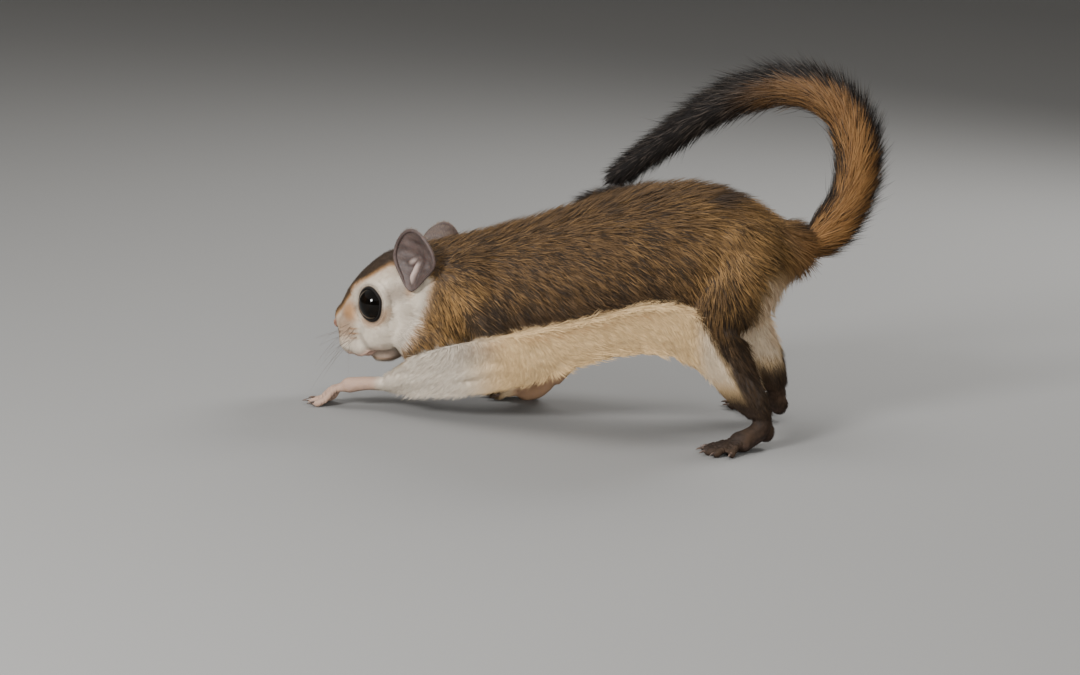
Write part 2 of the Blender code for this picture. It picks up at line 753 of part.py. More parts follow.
def sleeve(keys, bend, loose):
    """A loose casing of two straight prisms round a leg, bent at its elbow or knee."""
    prisms = []
    for first, last in ((0, bend), (bend, len(keys) - 1)):
        a, b = Vector(keys[first][:3]), Vector(keys[last][:3])
        ahead = (b - a).normalized()
        widest = max(row[3] for row in keys[first:last + 1]) + loose
        ends = [a, b + ahead * (4.0 if first else widest * 0.5)]
        wide = [widest, max(keys[last][3], widest * 0.62 - loose) + loose]
        rows = [(*end, radius) for end, radius in zip(ends, wide)]
        prisms.append(lofted("sleeve", tube_rings(rows, 7)))
    return united(prisms[0], prisms[1:])


def leg(name, keys, bend, whole, colour):
    """Takes a leg out of the flesh: what lies within its sleeve."""
    made = copy_of(whole, name)
    made.data.materials.clear()
    made.data.materials.append(material(colour))
    casing = sleeve(keys, bend, 2.2)
    room = sleeve(keys, bend, 2.2 + GAP)
    keep_largest(boolean(made, casing, "INTERSECT"))
    keep_largest(boolean(whole, room, "DIFFERENCE"))
    remove(casing, room)
    return made


def membrane(name, keys, side, block):
    """The folded gliding membrane: a padded strip from wrist to ankle that fills the space out to its rim."""
    rows = through(keys, 1)
    rings = []
    last = len(rows) - 1
    for index, row in enumerate(rows):
        rim, low = Vector(row[:3]), Vector(row[3:])
        ends = min(index, last - index) / 4
        full = 0.35 + 0.65 * smooth(ends)
        out = Vector((0, side, 0))
        depth = 7.0 * full
        section = (
            rim + Vector((0, 0, 0.7)),
            rim + out * 1.1 * full,
            rim.lerp(low, 0.3) + out * 0.9 * full,
            rim.lerp(low, 0.65) + out * 1.2 * full,
            low + out * 0.5,
            low - out * 0.7,
            rim.lerp(low, 0.6) - out * depth * 0.8,
            rim.lerp(low, 0.2) - out * depth,
            rim - out * 1.4,
        )
        rings.append([point * MM for point in section])
    strip = lofted(name, rings, "belly")
    boolean(strip, block, "DIFFERENCE")
    return keep_largest(strip)


class Tail:
    """The tail's line, with its frame and the outline of its fur at any distance from the root."""

    def __init__(self):
        self.points = [Vector(row) for row in through(TAIL_LINE, 8)]
        self.run = [0.0]
        for a, b in zip(self.points, self.points[1:]):
            self.run.append(self.run[-1] + (b - a).length)
        self.length = self.run[-1]

    def place(self, s):
        """Point and direction. Past the tip the line goes straight on."""
        if s >= self.length:
            ahead = (self.points[-1] - self.points[-2]).normalized()
            return self.points[-1] + ahead * (s - self.length), ahead
        index = max(i for i, run in enumerate(self.run[:-1]) if run <= max(s, 0))
        a, b = self.points[index], self.points[index + 1]
        share = (s - self.run[index]) / (self.run[index + 1] - self.run[index])
        before = self.points[max(index - 1, 0)]
        after = self.points[min(index + 2, len(self.points) - 1)]
        return a.lerp(b, share), (b - before).lerp(after - a, share).normalized()

    def frame(self, s):
        """Centre, direction, wide axis and under-side axis, with the roll."""
        centre, ahead = self.place(s)
        half_width, half_depth, roll = between(TAIL_FORM, s / self.length)
        side = Vector((0, 1, 0))
        side = (side - ahead * side.dot(ahead)).normalized()
        under = side.cross(ahead)
        angle = math.radians(roll)
        wide = side * math.cos(angle) + under * math.sin(angle)
        under = under * math.cos(angle) - side * math.sin(angle)
        return centre, ahead, wide * half_width, under * half_depth

    def core(self, name, start, end, colour):
        """The tail's flesh and underfur along one length, under half way out to the tips."""
        count = max(3, round((end - start) / 6))
        rings = []
        for step in range(count + 1):
            centre, _, wide, under = self.frame(start + (end - start) * step / count)
            ring = []
            for i in range(8):
                angle = 2 * math.pi * i / 8
                offset = wide * math.cos(angle) * 0.44 + under * math.sin(angle) * 0.48
                ring.append((centre + offset) * MM)
            rings.append(ring)
        return lofted(name, rings, colour)

    def lock(self, start, angle, length, reach):
        """A flat tapered lock that rises from the core and lies along the tail."""
        rings = []
        rows = 3
        for step in range(rows + 1):
            t = step / rows
            centre, ahead, wide, under = self.frame(start + length * t)
            out = 0.22 + (reach - 0.22) * t ** 0.75
            offset = (wide * math.cos(angle) + under * math.sin(angle)) * out
            across = (under * math.cos(angle) - wide * math.sin(angle)).normalized()
            lift = ahead.cross(across).normalized()
            half_width = 3.4 * (1 - t) ** 0.8 * (0.6 + 0.9 * t) + 0.25
            wall = 1.0 - 0.35 * t
            middle = centre + offset
            ring = [
                middle + across * half_width,
                middle + lift * wall,
                middle - across * half_width,
            ]
            rings.append([point * MM for point in ring])
        return lofted("lock", rings)

    def segment(self, name, start, end, draw, colour, block=None):
        """One length of tail: its core with locks all round, fused into one solid."""
        last = end >= self.length
        core = self.core(name, start + GAP / 2, end - (0 if last else GAP / 2), colour)
        locks = []
        s = start + (7.5 if block else 2.0)
        ring = 0
        while s < end - (12.0 if last else 5.8):
            for i in range(LOCKS_ROUND_TAIL):
                angle = 2 * math.pi * (i + 0.5 * (ring % 2)) / LOCKS_ROUND_TAIL
                angle += draw.uniform(-0.07, 0.07)
                length = LOCK_LENGTH * draw.uniform(0.92, 1.04)
                locks.append(self.lock(s, angle, length, draw.uniform(0.95, 1.03)))
            s += LOCK_RING_STEP
            ring += 1
        if last:
            for i in range(3):
                angle = 2 * math.pi * (i + 0.3) / 3
                locks.append(self.lock(end - 3.0, angle, 15.0, 0.60))
        united(core, locks, "MANIFOLD")
        if block:
            boolean(core, block, "DIFFERENCE")
        return keep_largest(core)


def tail(block):
    draw = random.Random(SEED)
    line = Tail()
    made = []
    first_cut = 0.0
    step = line.length / TAIL_SEGMENTS
    for index in range(TAIL_SEGMENTS):
        start = first_cut + index * step
        end = line.length if index == TAIL_SEGMENTS - 1 else start + step
        colour = "tail" if index < 3 else "tail_end"
        made.append(line.segment(
            f"tail_{index + 1}", start, end, draw, colour, block if index == 0 else None
        ))
    return made


def stand(objects):
    """Turns the body from its own frame to its rise over level ground."""
    pivot = Matrix.Translation((REACH_X * MM, 0, 0))
    turn = pivot @ Matrix.Rotation(-math.radians(BODY_RISE), 4, "Y") @ pivot.inverted()
    for obj in objects:
        obj.data.transform(turn)


def centre_on_footprint(objects):
    """Moves everything so that the origin is the middle of the whole, on the ground."""
    corners = [vertex.co for obj in objects for vertex in obj.data.vertices]
    middle_x = (min(c.x for c in corners) + max(c.x for c in corners)) / 2
    middle_y = (min(c.y for c in corners) + max(c.y for c in corners)) / 2
    for obj in objects:
        obj.data.transform(Matrix.Translation((-middle_x, -middle_y, 0)))


def main():
    clear_scene()
    whole = carve_face(flesh())
    whole.name = "loin"
    block = grown(whole, GAP, "block")
    ears = [ear("ear_left", -1, block), ear("ear_right", 1, block)]
    membranes = [
        membrane("membrane_left", LEFT_MEMBRANE, -1, block),
        membrane("membrane_right", RIGHT_MEMBRANE, 1, block),
    ]
    tail_pieces = tail(block)
    remove(block)
    eyes = [eye("eye_left", -1, whole), eye("eye_right", 1, whole)]
    legs = [
        leg("foreleg_left", LEFT_FORELEG, 2, whole, "cheek"),
        leg("foreleg_right", RIGHT_FORELEG, 2, whole, "cheek"),
        leg("hindleg_left", LEFT_HINDLEG, 2, whole, "leg"),
        leg("hindleg_right", RIGHT_HINDLEG, 2, whole, "leg"),
    ]
    chest = parted(whole, (4, 0, 40), (-1, 0, 0), "chest")
    neck = parted(chest, (-37, 0, 36), (-0.94, 0, -0.34), "neck")
    head = parted(neck, (-47, 0, 36), (-0.92, 0, -0.38), "head")
    made = [whole, chest, neck, head, *ears, *eyes, *legs, *membranes, *tail_pieces]
    stand(made)
    for limb_piece, (point, normal) in zip(legs, (LEFT_WRIST, RIGHT_WRIST, LEFT_ANKLE, RIGHT_ANKLE)):
        trimmed(limb_piece, point, normal, -GAP / 2)
    made += paws()
    centre_on_footprint(made)
    for obj in made:
        obj.data.shade_smooth()


main()
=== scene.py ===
import math

import bmesh
import bpy
import numpy as np
from mathutils import Matrix, Vector
from mathutils.bvhtree import BVHTree
from mathutils.kdtree import KDTree

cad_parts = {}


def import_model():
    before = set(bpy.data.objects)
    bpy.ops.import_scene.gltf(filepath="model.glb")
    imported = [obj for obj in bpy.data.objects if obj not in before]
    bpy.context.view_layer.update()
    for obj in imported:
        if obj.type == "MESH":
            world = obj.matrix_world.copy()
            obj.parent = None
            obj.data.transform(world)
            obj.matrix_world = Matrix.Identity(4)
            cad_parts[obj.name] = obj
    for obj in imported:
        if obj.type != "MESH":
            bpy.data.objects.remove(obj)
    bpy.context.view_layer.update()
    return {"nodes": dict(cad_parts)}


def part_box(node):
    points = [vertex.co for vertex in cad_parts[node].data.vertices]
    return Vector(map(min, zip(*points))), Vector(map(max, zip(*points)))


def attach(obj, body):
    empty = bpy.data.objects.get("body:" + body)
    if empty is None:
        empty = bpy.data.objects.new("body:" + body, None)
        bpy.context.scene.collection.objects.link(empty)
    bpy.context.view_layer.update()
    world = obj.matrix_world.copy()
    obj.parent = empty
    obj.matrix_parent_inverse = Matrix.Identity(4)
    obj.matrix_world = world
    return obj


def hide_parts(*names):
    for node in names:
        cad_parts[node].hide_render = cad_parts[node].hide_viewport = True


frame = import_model()
mm = 0.001
draw = np.random.default_rng(5)
print("frame loaded")

# The animal's own frame is level from hand to rump. It rises a little towards the rump over the ground.
stance = {"rise": 3.0, "turnX": -75.0, "shiftX": -8.5565}  # degrees, mm, mm
head = {
    "nose": (-75.5, 23.5),
    "pitch": 22.0,
    "turn": 4.0,
    "roll": 6.0,
    "pivotX": -42.0,
}


def placed(point):
    x, y, z = point
    rise = math.radians(stance["rise"])
    ahead = x - stance["turnX"]
    return Vector((
        stance["turnX"] + stance["shiftX"] + ahead * math.cos(rise) - z * math.sin(rise),
        y,
        ahead * math.sin(rise) + z * math.cos(rise),
    )) * mm


def ownFrame(points):  # the other way round, for many points at once
    rise = math.radians(stance["rise"])
    x = points[:, 0] / mm - stance["turnX"] - stance["shiftX"]
    z = points[:, 2] / mm
    return np.stack((
        x * math.cos(rise) + z * math.sin(rise) + stance["turnX"],
        points[:, 1] / mm,
        z * math.cos(rise) - x * math.sin(rise),
    ), axis=1)


def groundPlaces(points):  # from the animal's own frame to metres over the ground, for many points at once
    rise = math.radians(stance["rise"])
    x, z = points[:, 0] - stance["turnX"], points[:, 2]
    return np.stack((
        x * math.cos(rise) - z * math.sin(rise) + stance["turnX"] + stance["shiftX"],
        points[:, 1],
        x * math.sin(rise) + z * math.cos(rise),
    ), axis=1) * mm


def levelled(vectors, degrees):  # directions turned down by an angle
    rise = math.radians(degrees)
    x, y, z = vectors.T
    ahead = x * math.cos(rise) + z * math.sin(rise)
    return np.stack((ahead, y, z * math.cos(rise) - x * math.sin(rise)), axis=1)


def ownDirections(vectors):
    return levelled(vectors, stance["rise"])


def groundDirections(vectors):
    return levelled(vectors, -stance["rise"])


def smooth(share):
    share = min(max(share, 0.0), 1.0)
    return share * share * (3 - 2 * share)


def ramp(values, low, high):  # smooth step from 0 at low to 1 at high
    share = np.clip((values - low) / (high - low), 0, 1)
    return share * share * (3 - 2 * share)


def headAxes():
    pitch = math.radians(head["pitch"])
    return Vector((math.cos(pitch), 0, math.sin(pitch))), Vector((-math.sin(pitch), 0, math.cos(pitch)))


def headPlace(back, up, side):  # mm behind, above and beside the nose, in the animal's own frame
    along, above = headAxes()
    nose = Vector((head["nose"][0], 0, head["nose"][1]))
    return turnHead(nose + along * back + above * up + Vector((0, side, 0)))


def turnHead(point):  # the head's small turn and roll, fading in along the neck
    share = smooth((head["pivotX"] + 6 - point.x) / 12)
    nose = Vector((head["nose"][0], 0, head["nose"][1]))
    point = Matrix.Rotation(-math.radians(head["roll"]) * share, 3, headAxes()[0]) @ (point - nose) + nose
    pivot = Vector((head["pivotX"], 0, 0))
    return Matrix.Rotation(-math.radians(head["turn"]) * share, 3, "Z") @ (point - pivot) + pivot


def headPoint(back, up, side):
    return placed(headPlace(back, up, side))


def headDirection(back, up, side):
    along, above = headAxes()
    rolled = Matrix.Rotation(-math.radians(head["roll"]), 3, along)
    turned = Matrix.Rotation(-math.radians(head["turn"]), 3, "Z")
    own = turned @ rolled @ (along * back + above * up + Vector((0, side, 0))).normalized()
    return Vector(groundDirections(np.array([own]))[0])


def through(keys, steps):  # rows on a smooth curve through the keys
    rows = []
    last = len(keys) - 1
    for index in range(last):
        four = (keys[max(index - 1, 0)], keys[index], keys[index + 1], keys[min(index + 2, last)])
        for step in range(steps):
            t = step / steps
            row = []
            for a, b, c, d in zip(*four):
                cubic = 2 * b + (c - a) * t + (2 * a - 5 * b + 4 * c - d) * t * t
                row.append((cubic + (3 * b - a - 3 * c + d) * t * t * t) / 2)
            rows.append(tuple(row))
    rows.append(tuple(keys[-1]))
    return rows


def newObject(name, bm):
    mesh = bpy.data.meshes.new(name)
    bm.to_mesh(mesh)
    bm.free()
    obj = bpy.data.objects.new(name, mesh)
    bpy.context.scene.collection.objects.link(obj)
    return obj


def applied(obj):  # what the modifiers make becomes the mesh
    graph = bpy.context.evaluated_depsgraph_get()
    mesh = bpy.data.meshes.new_from_object(obj.evaluated_get(graph))
    obj.modifiers.clear()
    obj.data = mesh
    return obj


def coordinates(mesh):
    values = np.empty(len(mesh.vertices) * 3)
    mesh.vertices.foreach_get("co", values)
    return values.reshape(-1, 3)


def normals(mesh):
    values = np.empty(len(mesh.vertices) * 3)
    mesh.vertices.foreach_get("normal", values)
    return values.reshape(-1, 3)


# Shader maths
class Value:
    def __init__(self, tree, socket):
        self.tree = tree
        self.socket = socket

    def node(self, kind, settings=None, sockets=None, output=0):
        made = self.tree.nodes.new(kind)
        for key, setting in (settings or {}).items():
            setattr(made, key, setting)
        for key, value in (sockets or {}).items():
            if isinstance(value, Value):
                self.tree.links.new(value.socket, made.inputs[key])
            else:
                made.inputs[key].default_value = value
        return Value(self.tree, made.outputs[output])

    def maths(self, operation, first, second=None):
        sockets = {0: first}
        if second is not None:
            sockets[1] = second
        return self.node("ShaderNodeMath", {"operation": operation}, sockets)

    def __add__(self, other):
        return self.maths("ADD", self, other)

    def __sub__(self, other):
        return self.maths("SUBTRACT", self, other)

    def __mul__(self, other):
        return self.maths("MULTIPLY", self, other)

    def __rsub__(self, other):
        return self.maths("SUBTRACT", other, self)

    __radd__ = __add__
    __rmul__ = __mul__

    def fract(self):
        return self.maths("FRACT", self)

    def step(self, low, high):  # smooth step from 0 at low to 1 at high
        sockets = {"Value": self, "From Min": low, "From Max": high}
        return self.node("ShaderNodeMapRange", {"interpolation_type": "SMOOTHSTEP"}, sockets)

    def mix(self, first, second):  # this value is the factor between two colours
        settings = {"data_type": "RGBA"}
        return self.node("ShaderNodeMix", settings, {"Factor": self, 6: first, 7: second}, 2)


def material(name, roughness, specular=0.5):
    made = bpy.data.materials.new(name)
    made.use_nodes = True
    shader = made.node_tree.nodes["Principled BSDF"]
    shader.inputs["Roughness"].default_value = roughness
    shader.inputs["Specular IOR Level"].default_value = specular
    return made, shader, Value(made.node_tree, None)


def feed(shader, name, value):
    shader.id_data.links.new(value.socket, shader.inputs[name])


# Camera, lights and floor
camera = {
    "place": (102.7, -722.5, 187.5),
    "target": (-16.4, 0.0, 25.2),
    "up": (-0.0523, 0.0, 0.9986),
    "lens": 75.83,
}


def makeCamera():
    data = bpy.data.cameras.new("camera")
    data.lens = camera["lens"]
    data.sensor_width = 36
    data.clip_end = 10
    made = bpy.data.objects.new("camera", data)
    bpy.context.scene.collection.objects.link(made)
    back = (Vector(camera["place"]) - Vector(camera["target"])).normalized()
    side = Vector(camera["up"]).cross(back).normalized()
    turn = Matrix((side, back.cross(side), back)).transposed().to_4x4()
    made.matrix_world = Matrix.Translation(Vector(camera["place"]) * mm) @ turn
    bpy.context.scene.camera = made


studio = {
    "floorColour": (0.2, 0.197, 0.19, 1),
    "worldStrength": 0.5,
    # The paper's profile from the middle outwards: distance and height in metres.
    "paper": ((0.0, 0.0), (2.2, 0.0), (2.6, 0.04), (2.95, 0.16), (3.2, 0.42), (3.3, 0.8), (3.3, 1.7)),
    "lights": (  # name, place in mm, size in mm, power in watts
        ("key", (-330, -600, 360), 170, 7.6),
        ("front", (260, -780, 230), 500, 5.6),
        ("rim", (380, 520, 520), 320, 6.5),
        ("top", (-60, 60, 800), 500, 4.0),
    ),
    "inEyes": ("key", "top"),  # lights that the eyes mirror
}


def makeStudio():
    bm = bmesh.new()
    ring = [bm.verts.new((distance, 0, height)) for distance, height in studio["paper"]]
    line = [bm.edges.new(pair) for pair in zip(ring, ring[1:])]
    bmesh.ops.spin(
        bm, geom=ring + line, cent=(0, 0, 0), axis=(0, 0, 1), angle=2 * math.pi, steps=96, use_merge=True
    )
    bmesh.ops.remove_doubles(bm, verts=bm.verts, dist=1e-5)
    floor = newObject("floor", bm)
    made, shader, _ = material("floor_paper", 0.85, 0.2)
    shader.inputs["Base Color"].default_value = studio["floorColour"]
    floor.data.materials.append(made)
    floor.data.shade_smooth()
    for name, place, size, power in studio["lights"]:
        data = bpy.data.lights.new(name, "AREA")
        data.shape = "DISK"
        data.size = size * mm
        data.energy = power
        lamp = bpy.data.objects.new(name, data)
        lamp.location = Vector(place) * mm
        aim = Vector((0, 0, 45)) * mm - lamp.location
        lamp.rotation_mode = "QUATERNION"
        lamp.rotation_quaternion = aim.to_track_quat("-Z", "Y")
        lamp.visible_glossy = name in studio["inEyes"]
        bpy.context.scene.collection.objects.link(lamp)
    world = bpy.data.worlds.new("studio")
    world.use_nodes = True
    background = world.node_tree.nodes["Background"]
    background.inputs["Color"].default_value = (1, 0.985, 0.96, 1)
    background.inputs["Strength"].default_value = studio["worldStrength"]
    bpy.context.scene.world = world


makeCamera()
makeStudio()
print("camera and studio made")

# The lie of the coat: lines through trunk, legs and tail, from the hair's root to its tip.
# Each row: x, y, z, radius of the flesh there, hair length, depth of the coat, lift in degrees.
lie = {
    "trunk": (
        (-77.0, 0.0, 21.0, 4.0, 0.7, 0.1, 10.0),
        (-70.0, 0.4, 22.5, 9.0, 1.1, 0.25, 14.0),
        (-62.0, 0.6, 28.0, 12.0, 1.7, 0.45, 15.0),
        (-53.0, 0.6, 32.0, 15.0, 2.2, 0.6, 15.0),
        (-46.0, 0.0, 33.5, 17.4, 3.0, 1.0, 16.0),
        (-40.0, 0.0, 34.0, 19.0, 5.4, 1.6, 17.0),
        (-30.0, 0.0, 34.0, 22.0, 6.8, 2.1, 18.0),
        (-10.0, 0.0, 38.0, 25.0, 7.4, 2.4, 18.0),
        (15.0, 0.0, 45.0, 26.0, 7.6, 2.4, 18.0),
        (40.0, 0.0, 50.0, 25.5, 7.8, 2.5, 18.0),
        (60.0, 0.0, 51.0, 23.0, 7.8, 2.5, 20.0),
        (82.0, 0.0, 54.0, 8.0, 8.2, 2.4, 22.0),
    ),
    "leftForeleg": (
        (-31.0, -12.5, 36.0, 10.0, 6.0, 1.8, 16.0),
        (-20.0, -16.5, 26.0, 8.0, 4.6, 1.2, 16.0),
        (-15.5, -17.8, 17.5, 7.0, 4.0, 1.0, 18.0),
        (-26.0, -18.6, 14.6, 6.4, 3.9, 0.9, 15.0),
        (-40.0, -17.6, 11.6, 5.0, 3.4, 0.7, 13.0),
        (-53.0, -16.0, 8.6, 3.4, 2.4, 0.2, 12.0),
        (-60.0, -16.0, 8.0, 3.0, 1.1, 0.0, 10.0),
        (-68.0, -16.6, 6.6, 3.2, 0.6, 0.0, 8.0),
    ),
    "rightForeleg": (
        (-24.0, 12.5, 36.0, 10.0, 6.0, 1.8, 16.0),
        (-8.0, 17.5, 32.0, 8.0, 5.0, 1.2, 16.0),
        (8.0, 19.6, 25.4, 6.6, 4.4, 0.9, 16.0),
        (2.0, 18.6, 15.4, 5.6, 3.4, 0.7, 14.0),
        (-4.8, 16.2, 5.4, 3.8, 1.6, 0.2, 10.0),
        (-14.0, 15.8, 0.4, 3.2, 1.0, 0.0, 8.0),
    ),
    "leftHindleg": (
        (66.0, -11.0, 52.0, 13.0, 7.4, 2.4, 20.0),
        (59.0, -17.0, 41.0, 11.5, 6.6, 2.0, 19.0),
        (54.5, -19.5, 31.0, 8.8, 5.6, 1.5, 18.0),
        (60.0, -20.2, 20.5, 6.8, 4.6, 1.0, 16.0),
        (66.0, -20.3, 8.0, 4.8, 2.8, 0.5, 12.0),
        (69.0, -20.4, 0.0, 4.0, 1.6, 0.1, 10.0),
        (62.0, -26.0, -4.0, 4.0, 1.0, 0.0, 8.0),
        (52.0, -34.0, -5.0, 3.0, 0.8, 0.0, 8.0),
    ),
    "rightHindleg": (
        (66.0, 11.0, 52.0, 13.0, 7.4, 2.4, 20.0),
        (60.0, 17.0, 41.0, 11.5, 6.6, 2.0, 19.0),
        (57.0, 19.5, 31.0, 8.8, 5.6, 1.5, 18.0),
        (63.0, 20.2, 20.5, 7.4, 4.6, 1.0, 16.0),
        (68.6, 20.3, 8.0, 5.2, 2.8, 0.5, 12.0),
        (71.0, 20.4, 0.0, 4.0, 1.6, 0.1, 10.0),
        (64.0, 26.0, -4.0, 4.0, 1.0, 0.0, 8.0),
        (54.0, 34.0, -5.0, 3.0, 0.8, 0.0, 8.0),
    ),
}
# The rims of the gliding membranes, x, y, z from wrist to ankle.
rims = {
    "left": (
        (-53.0, -18.4, 11.8), (-45.0, -22.0, 18.8), (-34.0, -24.6, 23.2), (-21.0, -25.6, 26.2),
        (-7.0, -26.4, 29.6), (7.0, -27.0, 32.6), (20.0, -27.6, 36.2), (30.0, -28.0, 39.4),
        (40.0, -28.2, 40.2), (48.0, -28.0, 37.2), (53.4, -27.2, 28.6), (58.2, -26.0, 18.6),
        (63.4, -24.8, 9.4),
    ),
    "right": (
        (-5.8, 20.4, 9.6), (-3.6, 24.2, 18.4), (0.0, 26.2, 26.0), (7.0, 27.0, 31.6),
        (20.0, 27.6, 36.0), (30.0, 28.0, 39.2), (40.0, 28.2, 40.2), (49.0, 28.0, 37.2),
        (55.4, 27.4, 28.6), (60.8, 26.4, 18.6), (65.4, 24.8, 9.4),
    ),
}
tailLine = (
    (71.0, 0.0, 51.4), (80.4, 0.4, 55.4), (88.6, 1.2, 62.6), (93.6, 2.6, 72.2), (95.0, 4.2, 83.4),
    (92.2, 6.0, 94.2), (84.6, 8.0, 101.6), (73.0, 10.0, 104.6), (59.6, 12.0, 102.2), (46.0, 13.8, 95.8),
    (32.6, 15.6, 86.0), (21.0, 17.0, 77.2), (11.0, 18.2, 69.6),
)
# Share of the tail's length, half width and half depth of its fur, roll in degrees, radius of its flesh.
tailForm = (
    (0.00, 8.4, 8.2, 8.0, 4.6),
    (0.06, 9.0, 8.2, 16.0, 4.2),
    (0.16, 10.2, 7.6, 34.0, 3.6),
    (0.30, 11.2, 6.6, 46.0, 3.2),
    (0.46, 10.8, 6.2, 46.0, 2.8),
    (0.62, 9.6, 5.6, 40.0, 2.5),
    (0.78, 8.2, 5.2, 34.0, 2.1),
    (0.90, 7.0, 4.8, 30.0, 1.7),
    (1.00, 5.4, 3.8, 28.0, 1.0),
)
# The membranes' lower edges, x and z, where the hair hangs.
hems = {
    "left": (
        (-50.0, 5.0), (-33.0, 5.6), (-20.0, 7.2), (-6.0, 10.6), (7.0, 15.4), (20.0, 19.6), (40.0, 21.0),
        (53.4, 12.4),
    ),
    "right": ((1.0, 10.4), (6.0, 14.0), (11.0, 17.0), (20.0, 19.6), (40.0, 21.0), (55.4, 12.4)),
    "hang": (2.4, 1.1, 1.2),  # reach in mm, how far the hair turns down, added length in mm
}
# Ears: thin cups, open ahead and outwards, with a rolled rim and folds inside.
earForm = {
    "root": (-44.9, 15.0, 37.4),
    "height": 19.8,
    "halfWidth": 7.8,
    "depth": 4.4,
    "wall": 0.5,
    "rim": 0.62,  # radius of the rolled edge
    "curl": 0.9,
}
# The light band on the tail: share of the length, and degrees from the loop's outside towards the left.
tailBand = ((0.0, 80.0), (0.1, 74.0), (0.25, 78.0), (0.4, 106.0), (0.55, 132.0), (1.0, 136.0))
tailPoints = np.array(through(tailLine, 6))
tailRun = np.concatenate(([0], np.cumsum(np.linalg.norm(np.diff(tailPoints, axis=0), axis=1))))
tailFlesh = {"start": 0.03, "end": 0.955}  # shares of the tail's length that its flesh reaches


def tailFrames(share):  # centre, direction, wide axis and under-side axis at shares of the length
    run = share * tailRun[-1]
    centre = np.stack([np.interp(run, tailRun, tailPoints[:, i]) for i in range(3)], axis=1)
    steps = np.gradient(tailPoints, axis=0)
    ahead = np.stack([np.interp(run, tailRun, steps[:, i]) for i in range(3)], axis=1)
    ahead /= np.linalg.norm(ahead, axis=1, keepdims=True)
    side = np.array((0.0, 1.0, 0.0)) - ahead * ahead[:, 1:2]
    side /= np.linalg.norm(side, axis=1, keepdims=True)
    under = np.cross(side, ahead)
    form = np.array(tailForm)
    roll = np.radians(np.interp(share, form[:, 0], form[:, 3]))[:, None]
    wide = side * np.cos(roll) + under * np.sin(roll)
    under = under * np.cos(roll) - side * np.sin(roll)
    return centre, ahead, wide, under


def nearestOnLine(points, line):  # for each point: distance, place along the line in rows, foot point
    best = np.full(len(points), 1e9)
    place = np.zeros(len(points))
    for index, (a, b) in enumerate(zip(line, line[1:])):
        step = b - a
        t = np.clip(((points - a) @ step) / (step @ step), 0, 1)
        distance = np.linalg.norm(points - a - t[:, None] * step, axis=1)
        closer = distance < best
        best[closer] = distance[closer]
        place[closer] = index + t[closer]
    return best, place


def aboveLine(points, line):  # signed distance in the side view, positive on the left of the line's direction
    flat = points[:, (0, 2)]
    line = np.array(line)
    best = np.full(len(points), 1e9)
    sign = np.ones(len(points))
    for a, b in zip(line, line[1:]):
        step = b - a
        t = np.clip(((flat - a) @ step) / (step @ step), 0, 1)
        away = flat - a - t[:, None] * step
        distance = np.linalg.norm(away, axis=1)
        closer = distance < best
        best[closer] = distance[closer]
        sign[closer] = np.sign(step[0] * away[closer, 1] - step[1] * away[closer, 0])
    return best * sign


# Skin: the nodes of flesh, fused and drawn in by the depth of the coat.
skinForm = {
    "swell": 0.2,  # mm that each node grows to meet its neighbour
    "socketFill": 0.6,  # mm past the eyeball
    "voxel": 0.5,
    "soften": 8,
    "triangles": 110000,
    "facePlain": 0.10,  # how far the face is spared when the skin is thinned out
    "pawPlain": 0.85,  # how far the paws are
    "plainShare": 0.00016,
}
fleshNodes = [
    "head", "neck", "chest", "loin", "foreleg_left", "foreleg_right", "hindleg_left", "hindleg_right",
    "forepaw_left", "forepaw_right", "hindpaw_left", "hindpaw_right", "membrane_left", "membrane_right",
]
tailNodes = [name for name in frame["nodes"] if name.startswith("tail_")]
eyeForm = {
    "radius": 6.0,
    "aperture": (5.2, 5.35),  # half width and half height of the lids' middle line
    "lidRadius": 0.38,
    "corners": (1.3, 0.3),  # mm that the lids are drawn out at the front and the rear corner
}
eyeSize = {"left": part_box("eye_left"), "right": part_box("eye_right")}
eyes = {}
for sideName, (low, high) in eyeSize.items():
    eyes[sideName] = {
        "centre": (low + high) / 2,
        "radius": eyeForm["radius"] * mm,
        "sign": -1 if sideName == "left" else 1,
    }
for eye in eyes.values():
    eye["gaze"] = headDirection(-0.50, 0.11, eye["sign"] * 0.86)
    level = headDirection(0, 1, 0).cross(eye["gaze"]).normalized()
    eye["axes"] = np.array((level, eye["gaze"].cross(level), eye["gaze"]))


def tubeAlong(bm, points, radii, sides=10):  # a closed tube: a circle extruded ring by ring, in metres
    side = Vector((0, 1, 0))
    rings = []
    for index, (point, radius) in enumerate(zip(points, radii)):
        ahead = (points[min(index + 1, len(points) - 1)] - points[max(index - 1, 0)]).normalized()
        side = (side - ahead * side.dot(ahead)).normalized()
        turn = Matrix((side, ahead.cross(side), ahead)).transposed().to_4x4()
        rings.append(Matrix.Translation(point) @ turn @ Matrix.Scale(radius, 4))
    verts = bmesh.ops.create_circle(bm, cap_ends=True, segments=sides, radius=1, matrix=rings[0])["verts"]
    ring = list({edge for vert in verts for edge in vert.link_edges})
    for before, after in zip(rings, rings[1:]):
        made = bmesh.ops.extrude_edge_only(bm, edges=ring)["geom"]
        verts = [part for part in made if isinstance(part, bmesh.types.BMVert)]
        bmesh.ops.transform(bm, matrix=after @ before.inverted(), verts=verts)
        ring = [part for part in made if isinstance(part, bmesh.types.BMEdge)]
        ring = [edge for edge in ring if all(vert in verts for vert in edge.verts)]
    bmesh.ops.contextual_create(bm, geom=ring)


